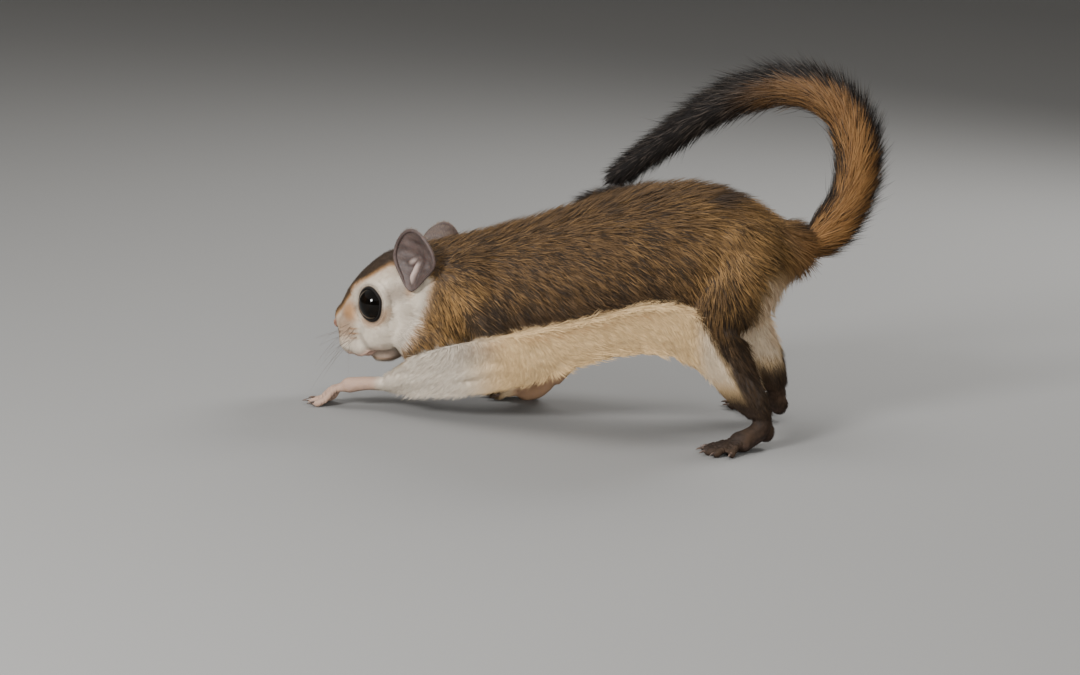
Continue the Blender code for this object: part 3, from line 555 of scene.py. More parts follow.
def addNode(bm, name, swell):  # a CAD node's mesh, merged and grown
    part = bmesh.new()
    part.from_mesh(frame["nodes"][name].data)
    bmesh.ops.remove_doubles(part, verts=part.verts, dist=1e-6)
    part.normal_update()
    for vert in part.verts:
        vert.co += vert.normal * swell * mm
    mesh = bpy.data.meshes.new("part")
    part.to_mesh(mesh)
    part.free()
    bm.from_mesh(mesh)
    bpy.data.meshes.remove(mesh)


def fusedFlesh():
    bm = bmesh.new()
    for name in fleshNodes:
        addNode(bm, name, skinForm["swell"])
    for eye in eyes.values():  # fills the sockets, which are cut again once the skin is smooth
        filled = eye["radius"] + skinForm["socketFill"] * mm
        there = Matrix.Translation(eye["centre"])
        bmesh.ops.create_uvsphere(bm, u_segments=24, v_segments=16, radius=filled, matrix=there)
    shares = np.linspace(tailFlesh["start"], tailFlesh["end"], 40)
    centres = tailFrames(shares)[0]
    form = np.array(tailForm)
    radii = np.interp(shares, form[:, 0], form[:, 4]) * mm
    tubeAlong(bm, [placed(centre) for centre in centres], radii, 14)
    bmesh.ops.recalc_face_normals(bm, faces=bm.faces)
    skin = newObject("skin", bm)
    fuse = skin.modifiers.new("fuse", "REMESH")
    fuse.mode = "VOXEL"
    fuse.voxel_size = skinForm["voxel"] * mm
    soften = skin.modifiers.new("soften", "SMOOTH")
    soften.factor = 0.5
    soften.iterations = skinForm["soften"]
    return applied(skin)


def meshEdges(mesh):
    pairs = np.empty(len(mesh.edges) * 2, dtype=np.int32)
    mesh.edges.foreach_get("vertices", pairs)
    return pairs.reshape(-1, 2)


def spread(values, edges, rounds):  # averages each vertex's value with its neighbours'
    count = np.bincount(edges.ravel(), minlength=len(values)).astype(float) + 1
    flat = values.reshape(len(values), -1)
    for _ in range(rounds):
        total = flat.copy()
        for column in range(flat.shape[1]):
            total[:, column] += np.bincount(edges[:, 0], flat[edges[:, 1], column], len(values))
            total[:, column] += np.bincount(edges[:, 1], flat[edges[:, 0], column], len(values))
        flat = total / count[:, None]
    return flat.reshape(values.shape)


def unit(vectors):
    return vectors / np.maximum(np.linalg.norm(vectors, axis=1, keepdims=True), 1e-9)


# How the hair's lie is read from the lines above, in mm.
lieRules = {
    "hold": 0.8,  # softens a line's hold on the skin beside it
    "flankFall": (0.25, 0.75, -56, -34),  # how far hair turns down at the cheek, more behind it, from x to x
    "armFall": 0.5,
    "lids": (1.0, 5.0, 1.6),  # from and to outside the eyeball, and how strongly hair leaves the lids
    "lidHair": (0.8, 0.32),  # length at the eyeball and its growth outwards
    "ears": (6.0, 12.0, 0.5, 4.0),  # from and to round the ear's root, share cut off, height over the root
    "foldedFur": ((-2.0, 0.8), (-36, -22), (0.45, 0.45, 0.25)),  # under the rim, along x, shares cut off
    "wavers": (8, 9, 25, 0.05),  # number, shortest and longest wave, strength
    "tailRoot": (0.0, 0.09, 9, 13),  # shares of the length, and mm from its middle line
    "tailHair": (8.5, 4.5, 0.35, 0.86),  # shortest, more at the sides, share cut off at the end, lift
}


def lieFields(own, normal, edges):  # flow, length, coat depth and lift of the hair, in the animal's own frame
    rules = lieRules
    flow = np.zeros_like(own)
    looks = np.zeros((len(own), 3))
    weights = np.zeros(len(own))
    for name, rows in lie.items():
        rows = np.array(rows)
        for a, b in zip(rows, rows[1:]):
            step = b[:3] - a[:3]
            t = np.clip(((own - a[:3]) @ step) / (step @ step), 0, 1)
            distance = np.linalg.norm(own - a[:3] - t[:, None] * step, axis=1)
            row = a + (b - a) * t[:, None]
            weight = 1 / (np.abs(distance - row[:, 3]) + rules["hold"]) ** 4
            heading = np.tile(step / np.linalg.norm(step), (len(own), 1))
            if name == "trunk":
                least, more, start, end = rules["flankFall"]
                fall = np.clip(1 - normal[:, 2], 0, 1)
                heading[:, 2] -= fall * (least + more * ramp(own[:, 0], start, end))
            if name == "leftForeleg":
                heading[:, 2] -= rules["armFall"]
            flow += heading * weight[:, None]
            looks += row[:, 4:7] * weight[:, None]
            weights += weight
    looks /= weights[:, None]
    flow = unit(flow)
    for eye in eyes.values():  # hair leaves the lids on all sides, and is shortest there
        away = own - ownFrame(np.array([eye["centre"]]))
        distance = np.linalg.norm(away, axis=1) - eye["radius"] / mm
        start, end, strength = rules["lids"]
        near = 1 - ramp(distance, start, end)
        flow += unit(away) * (near * strength)[:, None]
        shortest, growth = rules["lidHair"]
        looks[:, 0] = np.minimum(looks[:, 0], shortest + growth * np.maximum(distance, 0))
    for side in (-1, 1):  # short hair at the ear's base
        start, end, cut, over = rules["ears"]
        x, y, z = earForm["root"]
        root = np.array(turnHead(Vector((x, side * y, z + over))))
        near = 1 - ramp(np.linalg.norm(own - root, axis=1), start, end)
        looks[:, 0] *= 1 - cut * near
    rimSides = [aboveLine(own, [(x, z) for x, y, z in rims[side]]) for side in ("left", "right")]
    rim = np.where(own[:, 1] < 0, *rimSides)
    under, along, cut = rules["foldedFur"]
    folded = (1 - ramp(rim, *under)) * ramp(own[:, 0], *along)  # the membrane's fur is short and flat
    looks *= 1 - folded[:, None] * np.array(cut)
    reach, turnDown, longer = hems["hang"]
    for side, line in ((-1, hems["left"]), (1, hems["right"])):
        line = [np.array(point) for point in line]
        near = (1 - ramp(np.abs(aboveLine(own, line)), 0.5, reach)) * (own[:, 1] * side > 12)
        flow[:, 2] -= near * turnDown
        looks[:, 0] += near * longer
    wavers, shortest, longest, strength = rules["wavers"]
    for _ in range(wavers):
        wave = unit(draw.normal(0, 1, (1, 3)))[0] * 2 * math.pi / draw.uniform(shortest, longest)
        flow += np.sin(own @ wave + draw.uniform(0, 6.3))[:, None] * draw.normal(0, strength, 3)
    distance, place = nearestOnLine(own, tailPoints)
    share = np.interp(place, np.arange(len(tailPoints)), tailRun) / tailRun[-1]
    start, end, inner, outer = rules["tailRoot"]
    tailness = ramp(share, start, end) * (1 - ramp(distance, inner, outer))
    _, ahead, wide, _ = tailFrames(share)
    sideways = np.abs(np.einsum("ij,ij->i", normal, wide))
    form = np.array(tailForm)
    reach = np.interp(share, form[:, 0], form[:, 1]) * sideways ** 2
    reach += np.interp(share, form[:, 0], form[:, 2]) * (1 - sideways ** 2)
    flesh = np.interp(share, form[:, 0], form[:, 4])
    shortest, more, cut, raised = rules["tailHair"]
    length = (shortest + more * sideways ** 2) * (1 - cut * ramp(share, 0.6, 1.0))
    lift = np.degrees(np.arcsin(np.clip((reach - flesh) / length, 0.1, 0.8))) * raised
    tailLooks = np.stack((length, np.zeros_like(length), lift), axis=1)
    looks = looks * (1 - tailness[:, None]) + tailLooks * tailness[:, None]
    flow = unit(flow) * (1 - tailness[:, None]) + ahead * tailness[:, None]
    for _ in range(4):
        flow = unit(flow - normal * np.einsum("ij,ij->i", flow, normal)[:, None])
        flow = spread(flow, edges, 4)
    flow = unit(flow - normal * np.einsum("ij,ij->i", flow, normal)[:, None])
    looks = spread(looks, edges, 6)
    across = unit(np.array((0.0, 1.0, 0.0)) - ahead * ahead[:, 1:2])
    outward = np.cross(across, ahead)
    turn = np.radians(np.interp(share, *np.array(tailBand).T))[:, None]
    return {
        "flow": flow, "length": looks[:, 0], "depth": looks[:, 1], "lift": looks[:, 2],
        "rim": rim, "tail": tailness, "tailShare": share, "outward": np.einsum("ij,ij->i", normal, outward),
        "band": np.einsum("ij,ij->i", normal, outward * np.cos(turn) - across * np.sin(turn)),
    }


def headFrame(own):  # mm behind, above and beside the nose, for points of the head
    turn = math.radians(head["turn"])
    x, y = own[:, 0] - head["pivotX"], own[:, 1]
    points = np.stack((
        x * math.cos(turn) - y * math.sin(turn) + head["pivotX"] - head["nose"][0],
        x * math.sin(turn) + y * math.cos(turn),
        own[:, 2] - head["nose"][1],
    ), axis=1)
    along, above = (np.array(axis) for axis in headAxes())
    back = points @ along
    up = points @ above
    roll = math.radians(head["roll"])
    side = points[:, 1]
    return back, up * math.cos(roll) + side * math.sin(roll), side * math.cos(roll) - up * math.sin(roll)


# Markings, as soft borders in mm: on the head behind and above the nose, on the body along and up.
marks = {
    "crown": (
        (-2.0, 1.8), (4.6, 4.4), (8.5, 6.8), (13.1, 9.2), (19.5, 10.8), (27.3, 12.4), (33.0, 9.6),
        (39.0, 5.0),
    ),
    "cheekRear": ((-52.9, 14.4), (-47.4, 20.8), (-43.5, 28.4), (-41.1, 34.1), (-40.1, 39.8), (-37.0, 45.1)),
    "rumpRear": ((66.5, 18.0), (65.0, 25.0), (63.5, 34.5), (66.5, 45.0), (69.0, 51.0)),
    # centre and reach in the side view
    "tanAhead": ((7.6, 2.2), (6.0, 6.4)),
    "stripes": ((6.2, -4.4), (5.2, 4.6)),
    # the muzzle: real tan, with smoke over it as painted shade
    "muzzle": ((3.6, -1.6), (8.0, 8.0)),
    "temple": ((28.0, 2.4), (7.6, 5.2)),
    "earBase": ((33.0, 1.0), (3.6, 3.4)),
    "golden": ((-32.0, 34.5), (15.0, 12.0)),
    "lowShoulder": ((-38.0, 26.0), (13.0, 8.0)),
    "blackPatch": ((-21.5, 33.0), (8.5, 7.0)),
    "spot": ((51.5, 70.5), (6.0, 2.6)),
    # painted shade on the upper side of the forearm by the elbow
    "armShade": ((-25.0, 22.4), (13.0, 5.0)),
    "rump": ((58.0, 56.0), (24.0, 20.0)),
    "tailRoot": ((80.0, 51.0), (9.0, 8.0)),
}
# Where the markings end: each border runs softly from one value to another, in mm.
borders = {
    # Along x, from the nose backwards
    "headEnd": (-50, -44), "leftHandTo": (-60, -55), "wrist": (-58, -52), "handTo": (-52, -44),
    "cheekTo": (-40, -36), "flankFrom": (-36, -20), "throatTo": (-34, -26), "greyTo": (-34, -8),
    "edgeShadowFrom": (-30, -22), "rightArmFrom": (-24, -20), "rightHandFrom": (-20, -16),
    "rightHandTo": (2, 6), "rightArmTo": (8, 14), "edgeShadowTo": (34, 44), "flankTo": (34, 48),
    "footFrom": (38, 44), "greyLegFrom": (44, 52), "hindFrom": (50, 56), "rumpFrom": (58, 62),
    # Up, from the ground
    "soleTop": (0, 9), "footTop": (7, 17), "rightHandTop": (4, 9), "innerLow": (8, 16),
    "leftHandTop": (11, 13), "chinLow": (12, 14), "handTop": (12, 15), "throatTop": (12, 19),
    "rightArmTop": (15, 24), "rumpLow": (16, 22), "shinTop": (22, 42), "hindTop": (46, 52),
    "rumpTop": (47, 53),
    # Above the membrane's rim
    "underRim": (-0.8, 0.6), "flankLow": (0.6, 2.0), "flankTop": (4.0, 9.0), "backTop": (24, 4),
    # Across the lines of the markings
    "cheekLine": (-1.2, 1.2), "cheekEdge": (0.5, 2.6), "crownLine": (-1.0, 1.2), "crownDark": (-0.8, 1.2),
    "brow": (-2.6, 0.4), "forehead": (-9, -1), "rumpLine": (-1.0, 2.4),
    # From the lids, and below the eye's middle
    "lid": (0.45, 0.95), "smudge": (0.3, 3.2), "roundEye": (1.0, 3.8), "underEye": (0.5, 4.5),
    # On the head, behind and above the nose, and away from the mouth
    "padTo": (1.5, 3.0), "noseBridge": (3, 12), "mouthEnd": (9, 15), "chinTo": (15, 20),
    "chinTop": (-15.5, -11.5), "lips": (0.6, 4.0),
    # Shares of the tail's length, and the band's edge
    "tailRoot": (0.0, 0.14), "bandDull": (0.24, 0.5), "bandEnd": (0.44, 0.64), "bandEdge": (0.1, 0.55),
    # How far the skin faces down, and inwards
    "soleFacing": (-0.3, 0.4), "innerFacing": (0.1, 0.5),
}


def past(values, name):  # 0 before a border, 1 past it
    return ramp(values, *borders[name])


def before(values, name):
    return 1 - ramp(values, *borders[name])


def blob(across, up, name):  # 1 at the centre of a marking, 0 past its reach
    (x, z), (wide, high) = marks[name]
    return 1 - ramp(np.hypot((across - x) / wide, (up - z) / high), 0.1, 1.3)


def markings(own, normal, fields):
    x, y, z = own.T
    rim = fields["rim"]
    back, up, side = headFrame(own)
    isHead = before(x, "headEnd")
    ahead = aboveLine(own, marks["cheekRear"])
    body = 1 - fields["tail"]
    hind = past(x, "hindFrom") * before(z, "hindTop")
    soles = past(x, "footFrom") * before(z, "soleTop") * (0.45 + 0.55 * past(-normal[:, 2], "soleFacing"))
    feet = np.maximum(soles, past(x, "footFrom") * before(z, "footTop"))
    # Pale parts: membranes and belly, inner sides of the legs, throat and face.
    pale = before(rim, "underRim") * past(x, "wrist")
    pale = np.maximum(pale, hind * past(-normal[:, 1] * np.sign(y), "innerFacing") * past(z, "innerLow"))
    rear = past(-aboveLine(own, marks["rumpRear"]), "rumpLine")
    rear = rear * past(x, "rumpFrom") * past(z, "rumpLow") * before(z, "rumpTop")
    rightArm = (y > 0) * before(x, "rightArmTo") * past(x, "rightArmFrom") * before(z, "rightArmTop")
    throat = before(z, "throatTop") * past(x, "wrist") * before(x, "throatTo")
    hand = before(z, "handTop") * before(x, "handTo")
    pale = np.maximum.reduce((pale, rear, rightArm, throat, hand)) * (1 - feet)
    crown = aboveLine(np.stack((back, side, up), axis=1), marks["crown"])
    cheek = past(ahead, "cheekLine") * before(x, "cheekTo") * before(crown, "crownLine") * past(z, "handTop")
    grey = np.maximum(cheek, pale * before(x, "greyTo"))
    grey = np.maximum(grey, pale * past(x, "greyLegFrom") * 0.6)
    # Tan and smoky parts of the face and of the pale skin.
    rings = [aroundEye(groundPlaces(own), eye) for eye in eyes.values()]
    below, smudge = 0, 0
    for local, away, _ in rings:
        outside = local[:, 2] > 0
        below = below + before(away, "roundEye") * past(-local[:, 1], "underEye") * outside
        smudge = smudge + before(away, "smudge") * outside
    stripes = blob(back, up, "stripes") * (0.35 + 0.65 * ramp(np.sin((up + 0.3 * back) * 3.6), -0.2, 0.7))
    tan = np.maximum.reduce((
        blob(back, up, "tanAhead") * 0.85, below * 0.95, past(crown, "brow") * 0.8, stripes * 0.75,
        blob(back, up, "earBase"), blob(back, up, "muzzle") * 0.6, past(crown, "forehead") * 0.34,
    )) * isHead
    tan = np.maximum(tan, before(np.abs(ahead), "cheekEdge") * 0.6 * (x < -36))
    # a tan line 2.6 mm under the membrane's rim: painted shade in the crease beneath the fold's edge
    shadowUnderEdge = np.exp(-((rim + 2.6) / 0.8) ** 2) * 0.6 * past(x, "edgeShadowFrom") * before(x, "edgeShadowTo")
    tan = np.maximum(tan, shadowUnderEdge)
    tan = np.maximum(tan, rear * 0.4) * (1 - 0.4 * smudge)
    # Smoky grey: the temple and the rings round the eyes are real markings; on the muzzle and on the forearm
    # by the elbow it is painted shade.
    smoke = np.maximum.reduce((
        blob(back, up, "temple") * 0.75 * isHead, blob(back, up, "muzzle") * 0.45 * isHead,
        blob(x, z, "armShade") * 0.5, smudge * 0.75,
    ))
    # Brown parts.
    golden = np.maximum(blob(x, z, "golden"), blob(x, z, "lowShoulder"))
    golden = np.maximum.reduce((golden, isHead * 0.12, blob(x, z, "rump") * 0.45)) * (1 - pale)
    flank = past(rim, "flankLow") * before(rim, "flankTop") * past(x, "flankFrom") * before(x, "flankTo")
    dark = np.maximum.reduce((
        feet * 0.85, hind * before(z, "shinTop") * 0.8, flank * 0.55,
        blob(x, z, "spot") * 1.3, blob(x, z, "blackPatch") * 0.6,
        past(crown, "crownDark") * isHead * (0.4 + 0.55 * past(back, "noseBridge")),
    ))
    share = fields["tailShare"]
    wide = 0.45 - 0.5 * past(share, "tailRoot")  # the band takes in the whole left side of the root
    rust = fields["tail"] * past(fields["band"] + wide, "bandEdge") * before(share, "bandEnd")
    rust = np.maximum(rust, blob(x, z, "tailRoot") * 0.8 * body)
    rust *= 1 - 0.45 * past(share, "bandDull")
    dark = np.maximum(dark * body + fields["tail"] * (1 - rust), soles * 0.9)
    tick = 0.36 + 0.12 * past(rim, "backTop") - 0.06 * golden + 0.6 * blob(x, z, "blackPatch") - 0.12 * isHead
    tick -= 0.12 * blob(x, z, "rump")
    # Bare skin: paws, nose and lips.
    hands = np.maximum(
        before(z, "leftHandTop") * before(x, "leftHandTo"),
        before(z, "rightHandTop") * past(x, "rightHandFrom") * before(x, "rightHandTo"),
    )
    padUp, padWide, padHigh = face["pad"]
    nose = (1 - ramp(np.hypot(side / padWide, (up - padUp) / padHigh), 0.9, 1.3)) * before(back, "padTo")
    fromMouth = nearestOnLine(np.stack((back, up, np.abs(side)), axis=1), np.array(face["mouth"]))[0]
    lips = before(fromMouth, "lips") * (1 - 0.5 * past(back, "mouthEnd")) * 0.75
    chin = 0.42 * before(up, "chinTop") * before(back, "chinTo") * past(z, "chinLow")
    lips = np.maximum(lips, chin) * isHead
    bare = np.maximum.reduce((hands * 0.72, nose * isHead, lips))
    lid = np.zeros(len(own))
    for local, away, _ in rings:
        lid = np.maximum(lid, (np.abs(away) < 2) * before(away, "lid") * (local[:, 2] > -1))
    return {
        "pale": pale * body * (1 - cheek), "grey": grey * body * (1 - feet), "golden": golden * body,
        "sole": soles, "dark": np.clip(dark, 0, 1), "tick": np.clip(tick, 0.05, 0.85), "rust": rust,
        "tan": tan * body, "smoke": smoke * body, "bare": bare * body, "lips": lips, "lid": lid,
        "isTail": fields["tail"],
    }


def setAttribute(mesh, name, values):
    attribute = mesh.attributes.new(name, "FLOAT", "POINT")
    attribute.data.foreach_set("value", np.ascontiguousarray(values, dtype=np.float32))


def drawnIn(skin):  # the skin lies under the coat by the coat's depth
    mesh = skin.data
    points = coordinates(mesh)
    normal = normals(mesh)
    fields = lieFields(ownFrame(points), ownDirections(normal), meshEdges(mesh))
    points -= normal * fields["depth"][:, None] * mm
    mesh.vertices.foreach_set("co", points.ravel())
    mesh.update()
    soften = skin.modifiers.new("soften", "SMOOTH")
    soften.iterations = 4
    group = skin.vertex_groups.new(name="plain")
    own = ownFrame(points)
    plain = ramp(own[:, 0], -56, -44)
    overPaws = np.maximum(ramp(own[:, 0], 40, 48), 1 - ramp(own[:, 0], -4, 2))
    plain *= 1 - skinForm["pawPlain"] * (1 - ramp(own[:, 2], 0, 10)) * overPaws
    for index, amount in enumerate(plain):
        group.add([index], skinForm["facePlain"] + (1 - skinForm["facePlain"]) * amount, "REPLACE")
    thin = skin.modifiers.new("thin", "DECIMATE")
    thin.ratio = skinForm["triangles"] / (2 * len(mesh.polygons))
    thin.vertex_group = group.name
    thin.vertex_group_factor = skinForm["plainShare"]
    return applied(skin)


# Bare parts that the coat doesn't hide. Places on the head: mm behind, above and beside the nose.
face = {
    "mouth": (
        (0.6, -9.0, 0.0), (1.6, -10.2, 2.4), (4.4, -11.8, 4.6), (8.0, -13.1, 6.2), (12.0, -13.2, 8.0),
        (14.5, -12.4, 9.2),
    ),
    "mouthDepth": 0.75,
    "lip": 0.25,
    "pad": (0.5, 2.3, 1.7),  # height of the nose's bare pad, its half width and half height
    "nostril": ((1.05, 0.1), (1.9, 0.75)),  # from beside and above the middle to the outer end
    "nostrilDepth": 0.9,
    "lidFolds": ((1.15, 0.22), (2.1, 0.12)),  # distance from the lid and depth
}
toes = {
    "fore": ((18.0, 11.6), (3.0, 13.2), (-14.0, 12.6), (-34.0, 10.6)),  # direction in degrees and length
    "hind": ((-32.0, 10.6), (-15.0, 12.8), (0.0, 13.6), (15.0, 13.0), (36.0, 9.8)),
    "creases": (0.36, 0.43, 0.50, 0.70, 0.77),  # shares of a toe's length
    "creaseDepth": 0.2,
    # Paws over level ground: ball's place, heading, side, height of the knuckles.
    "paws": (
        ((-67.5, -16.8), 183, "fore", -1, 6.9), ((-14.0, 15.8), 176, "fore", 1, 1.9),
        ((62.6, -26.4), 220, "hind", -1, 2.6), ((64.2, 26.4), 140, "hind", 1, 2.6),
    ),
}


def toeLines():  # ball, direction, length and height of the knuckles of each toe, in mm over the ground
    lines = []
    for (x, y), heading, kind, side, knuckle in toes["paws"]:
        for spreadBy, length in toes[kind]:
            angle = math.radians(heading - side * spreadBy)
            ahead = np.array((math.cos(angle), math.sin(angle), 0.0))
            lines.append((np.array((x + stance["shiftX"], y, 0.0)), ahead, length, knuckle))
    return lines


def lidPlace(eye, angle):  # the lid's middle line: distance from the gaze's axis and height along it
    halfWidth, halfHeight = eyeForm["aperture"]
    base = 1 / np.hypot(np.cos(angle) / halfWidth, np.sin(angle) / halfHeight)
    fromFront = np.arccos(np.clip(np.cos(angle) * eye["sign"], -1, 1))
    front, rear = eyeForm["corners"]
    corner = front * np.exp(-(fromFront / 0.30) ** 2) + rear * np.exp(-((math.pi - fromFront) / 0.35) ** 2)
    rest = eyeForm["radius"] + 0.12
    return base + corner, np.sqrt(rest * rest - base * base) - 0.7 * corner


def aroundEye(points, eye):  # places in the eye's axes in mm, and how far outside the lid's line they lie
    local = (points - np.array(eye["centre"])) @ eye["axes"].T / mm
    angle = np.arctan2(local[:, 1], local[:, 0])
    reach, height = lidPlace(eye, angle)
    return local, np.hypot(local[:, 0], local[:, 1]) - reach, height


def bareRegion(points):  # where the skin needs a finer mesh
    own = ownFrame(points)
    back = headFrame(own)[0]
    near = (back < 15) & (own[:, 0] < -50)
    for eye in eyes.values():
        local, away, _ = aroundEye(points, eye)
        near |= (away < 3.5) & (local[:, 2] > 0)
    for ball, ahead, length, _ in toeLines():
        fromBall = points / mm - ball
        along = fromBall @ ahead
        away = np.linalg.norm(fromBall - np.outer(along, ahead), axis=1)
        near |= (along > 0) & (along < length) & (away < 9)
    return near


def refined(skin):  # a finer mesh at the bare parts, and skin that runs up to the lids
    near = bareRegion(coordinates(skin.data))
    bm = bmesh.new()
    bm.from_mesh(skin.data)
    edges = [edge for edge in bm.edges if all(near[vert.index] for vert in edge.verts)]
    bmesh.ops.subdivide_edges(bm, edges=edges, cuts=1, use_grid_fill=True)
    bmesh.ops.triangulate(bm, faces=[part for part in bm.faces if len(part.verts) > 3])
    bm.to_mesh(skin.data)
    bm.free()
    mesh = skin.data
    points = coordinates(mesh)
    near = bareRegion(points)
    eased = spread(points, meshEdges(mesh), 2)
    points[near] = eased[near]
    for eye in eyes.values():
        local, away, height = aroundEye(points, eye)
        share = (1 - ramp(away, 0.2, 3.4)) * (local[:, 2] > 0.5) * (away < 4)
        local[:, 2] += (height - 0.15 - 0.12 * np.maximum(away, 0) - local[:, 2]) * share
        points = np.where(share[:, None] > 0, local @ eye["axes"] * mm + np.array(eye["centre"]), points)
    mesh.vertices.foreach_set("co", points.ravel())
    mesh.update()
    return skin


def carved(skin):  # nose pad, nostrils, mouth, lips, folds round the eyes and creases on the toes
    mesh = skin.data
    points, normal = coordinates(mesh), normals(mesh)
    own = ownFrame(points)
    back, up, side = headFrame(own)
    beside = np.abs(side)
    isHead = (own[:, 0] < -46) & (own[:, 2] > 9)

    def bell(distance, width):
        return np.exp(-(distance / width) ** 2)

    out = np.zeros(len(points))
    onFace = np.stack((back, up, beside), axis=1)
    fromMouth = nearestOnLine(onFace, np.array(face["mouth"]))[0]
    out -= face["mouthDepth"] * bell(fromMouth, 0.42) * isHead
    out += face["lip"] * bell(fromMouth - 1.15, 0.5) * isHead * (back < 12)
    padUp, padWide, padHigh = face["pad"]
    fromPad = np.hypot(beside / padWide, (up - padUp) / padHigh)
    front = isHead * (1 - ramp(back, 1.5, 3.0))
    out += (0.45 * (1 - ramp(fromPad, 0.5, 1.05)) - 0.22 * bell(fromPad - 1.2, 0.16)) * front
    fromNostril = nearestOnLine(np.stack((beside, up), axis=1), np.array(face["nostril"]))[0]
    out -= face["nostrilDepth"] * bell(fromNostril, 0.40) * front
    out -= 0.35 * bell(beside, 0.32) * front * (up < 0) * (up > -9)
    for eye in eyes.values():
        local, away, _ = aroundEye(points, eye)
        for distance, depth in face["lidFolds"]:
            out -= depth * bell(away - distance, 0.25) * (local[:, 2] > 0) * (away > 0.6)
    for ball, ahead, length, _ in toeLines():
        fromBall = points / mm - ball
        along = fromBall @ ahead
        across = np.linalg.norm((fromBall - np.outer(along, ahead))[:, :2], axis=1)
        onToe = (across < 2.0) & (points[:, 2] > 0.8 * mm) & (points[:, 2] < 9 * mm)
        for share in toes["creases"]:
            out -= toes["creaseDepth"] * bell(along - share * length, 0.26) * onToe
    points += normal * out[:, None] * mm
    mesh.vertices.foreach_set("co", points.ravel())
    mesh.update()
    return skin


def lidRing(eye):  # a rounded rim that lies on the eyeball, drawn out at its corners
    bm = bmesh.new()
    far = 10  # where the circle is spun, before it is laid on the eyeball
    turn = Matrix.Translation((far, 0, 0)) @ Matrix.Rotation(math.pi / 2, 4, "X")
    bmesh.ops.create_circle(bm, segments=12, radius=eyeForm["lidRadius"], matrix=turn)
    bmesh.ops.spin(
        bm, geom=bm.verts[:] + bm.edges[:], cent=(0, 0, 0), axis=(0, 0, 1), angle=2 * math.pi, steps=80,
        use_merge=True,
    )
    for vert in bm.verts:
        angle = math.atan2(vert.co.y, vert.co.x)
        outwards = math.hypot(vert.co.x, vert.co.y) - far
        reach, height = lidPlace(eye, angle)
        reach += outwards
        vert.co = Vector((math.cos(angle) * reach, math.sin(angle) * reach, height + vert.co.z))
    bmesh.ops.recalc_face_normals(bm, faces=bm.faces)
    turned = Matrix.Translation(eye["centre"]) @ Matrix(eye["axes"].T.tolist()).to_4x4()
    bmesh.ops.transform(bm, matrix=turned @ Matrix.Scale(mm, 4), verts=bm.verts)
    return newObject("lid", bm)


def combined(obj, other, operation):
    modifier = obj.modifiers.new("combine", "BOOLEAN")
    modifier.operation = operation
    modifier.solver = "MANIFOLD"
    modifier.object = other
    applied(obj)
    bpy.data.objects.remove(other)
    return obj


def openEyes(skin):
    for eye in eyes.values():
        bm = bmesh.new()
        bmesh.ops.create_icosphere(
            bm, subdivisions=5, radius=eye["radius"] + 0.1 * mm, matrix=Matrix.Translation(eye["centre"])
        )
        combined(skin, newObject("socket", bm), "DIFFERENCE")
        combined(skin, lidRing(eye), "UNION")
    return skin


def makeEye(sideName):
    eye = eyes[sideName]
    bm = bmesh.new()
    bmesh.ops.create_uvsphere(bm, u_segments=64, v_segments=40, radius=eye["radius"])
    for vert in bm.verts:  # the clear dome over the pupil stands a little proud
        facing = vert.co.normalized().z
        vert.co *= 1 + 0.02 * smooth((facing - 0.45) / 0.5)
    turn = eye["gaze"].to_track_quat("Z", "Y").to_matrix().to_4x4()
    bmesh.ops.transform(bm, matrix=Matrix.Translation(eye["centre"]) @ turn, verts=bm.verts)
    ball = newObject("eyeball_" + sideName, bm)
    ball.data.shade_smooth()
    return ball


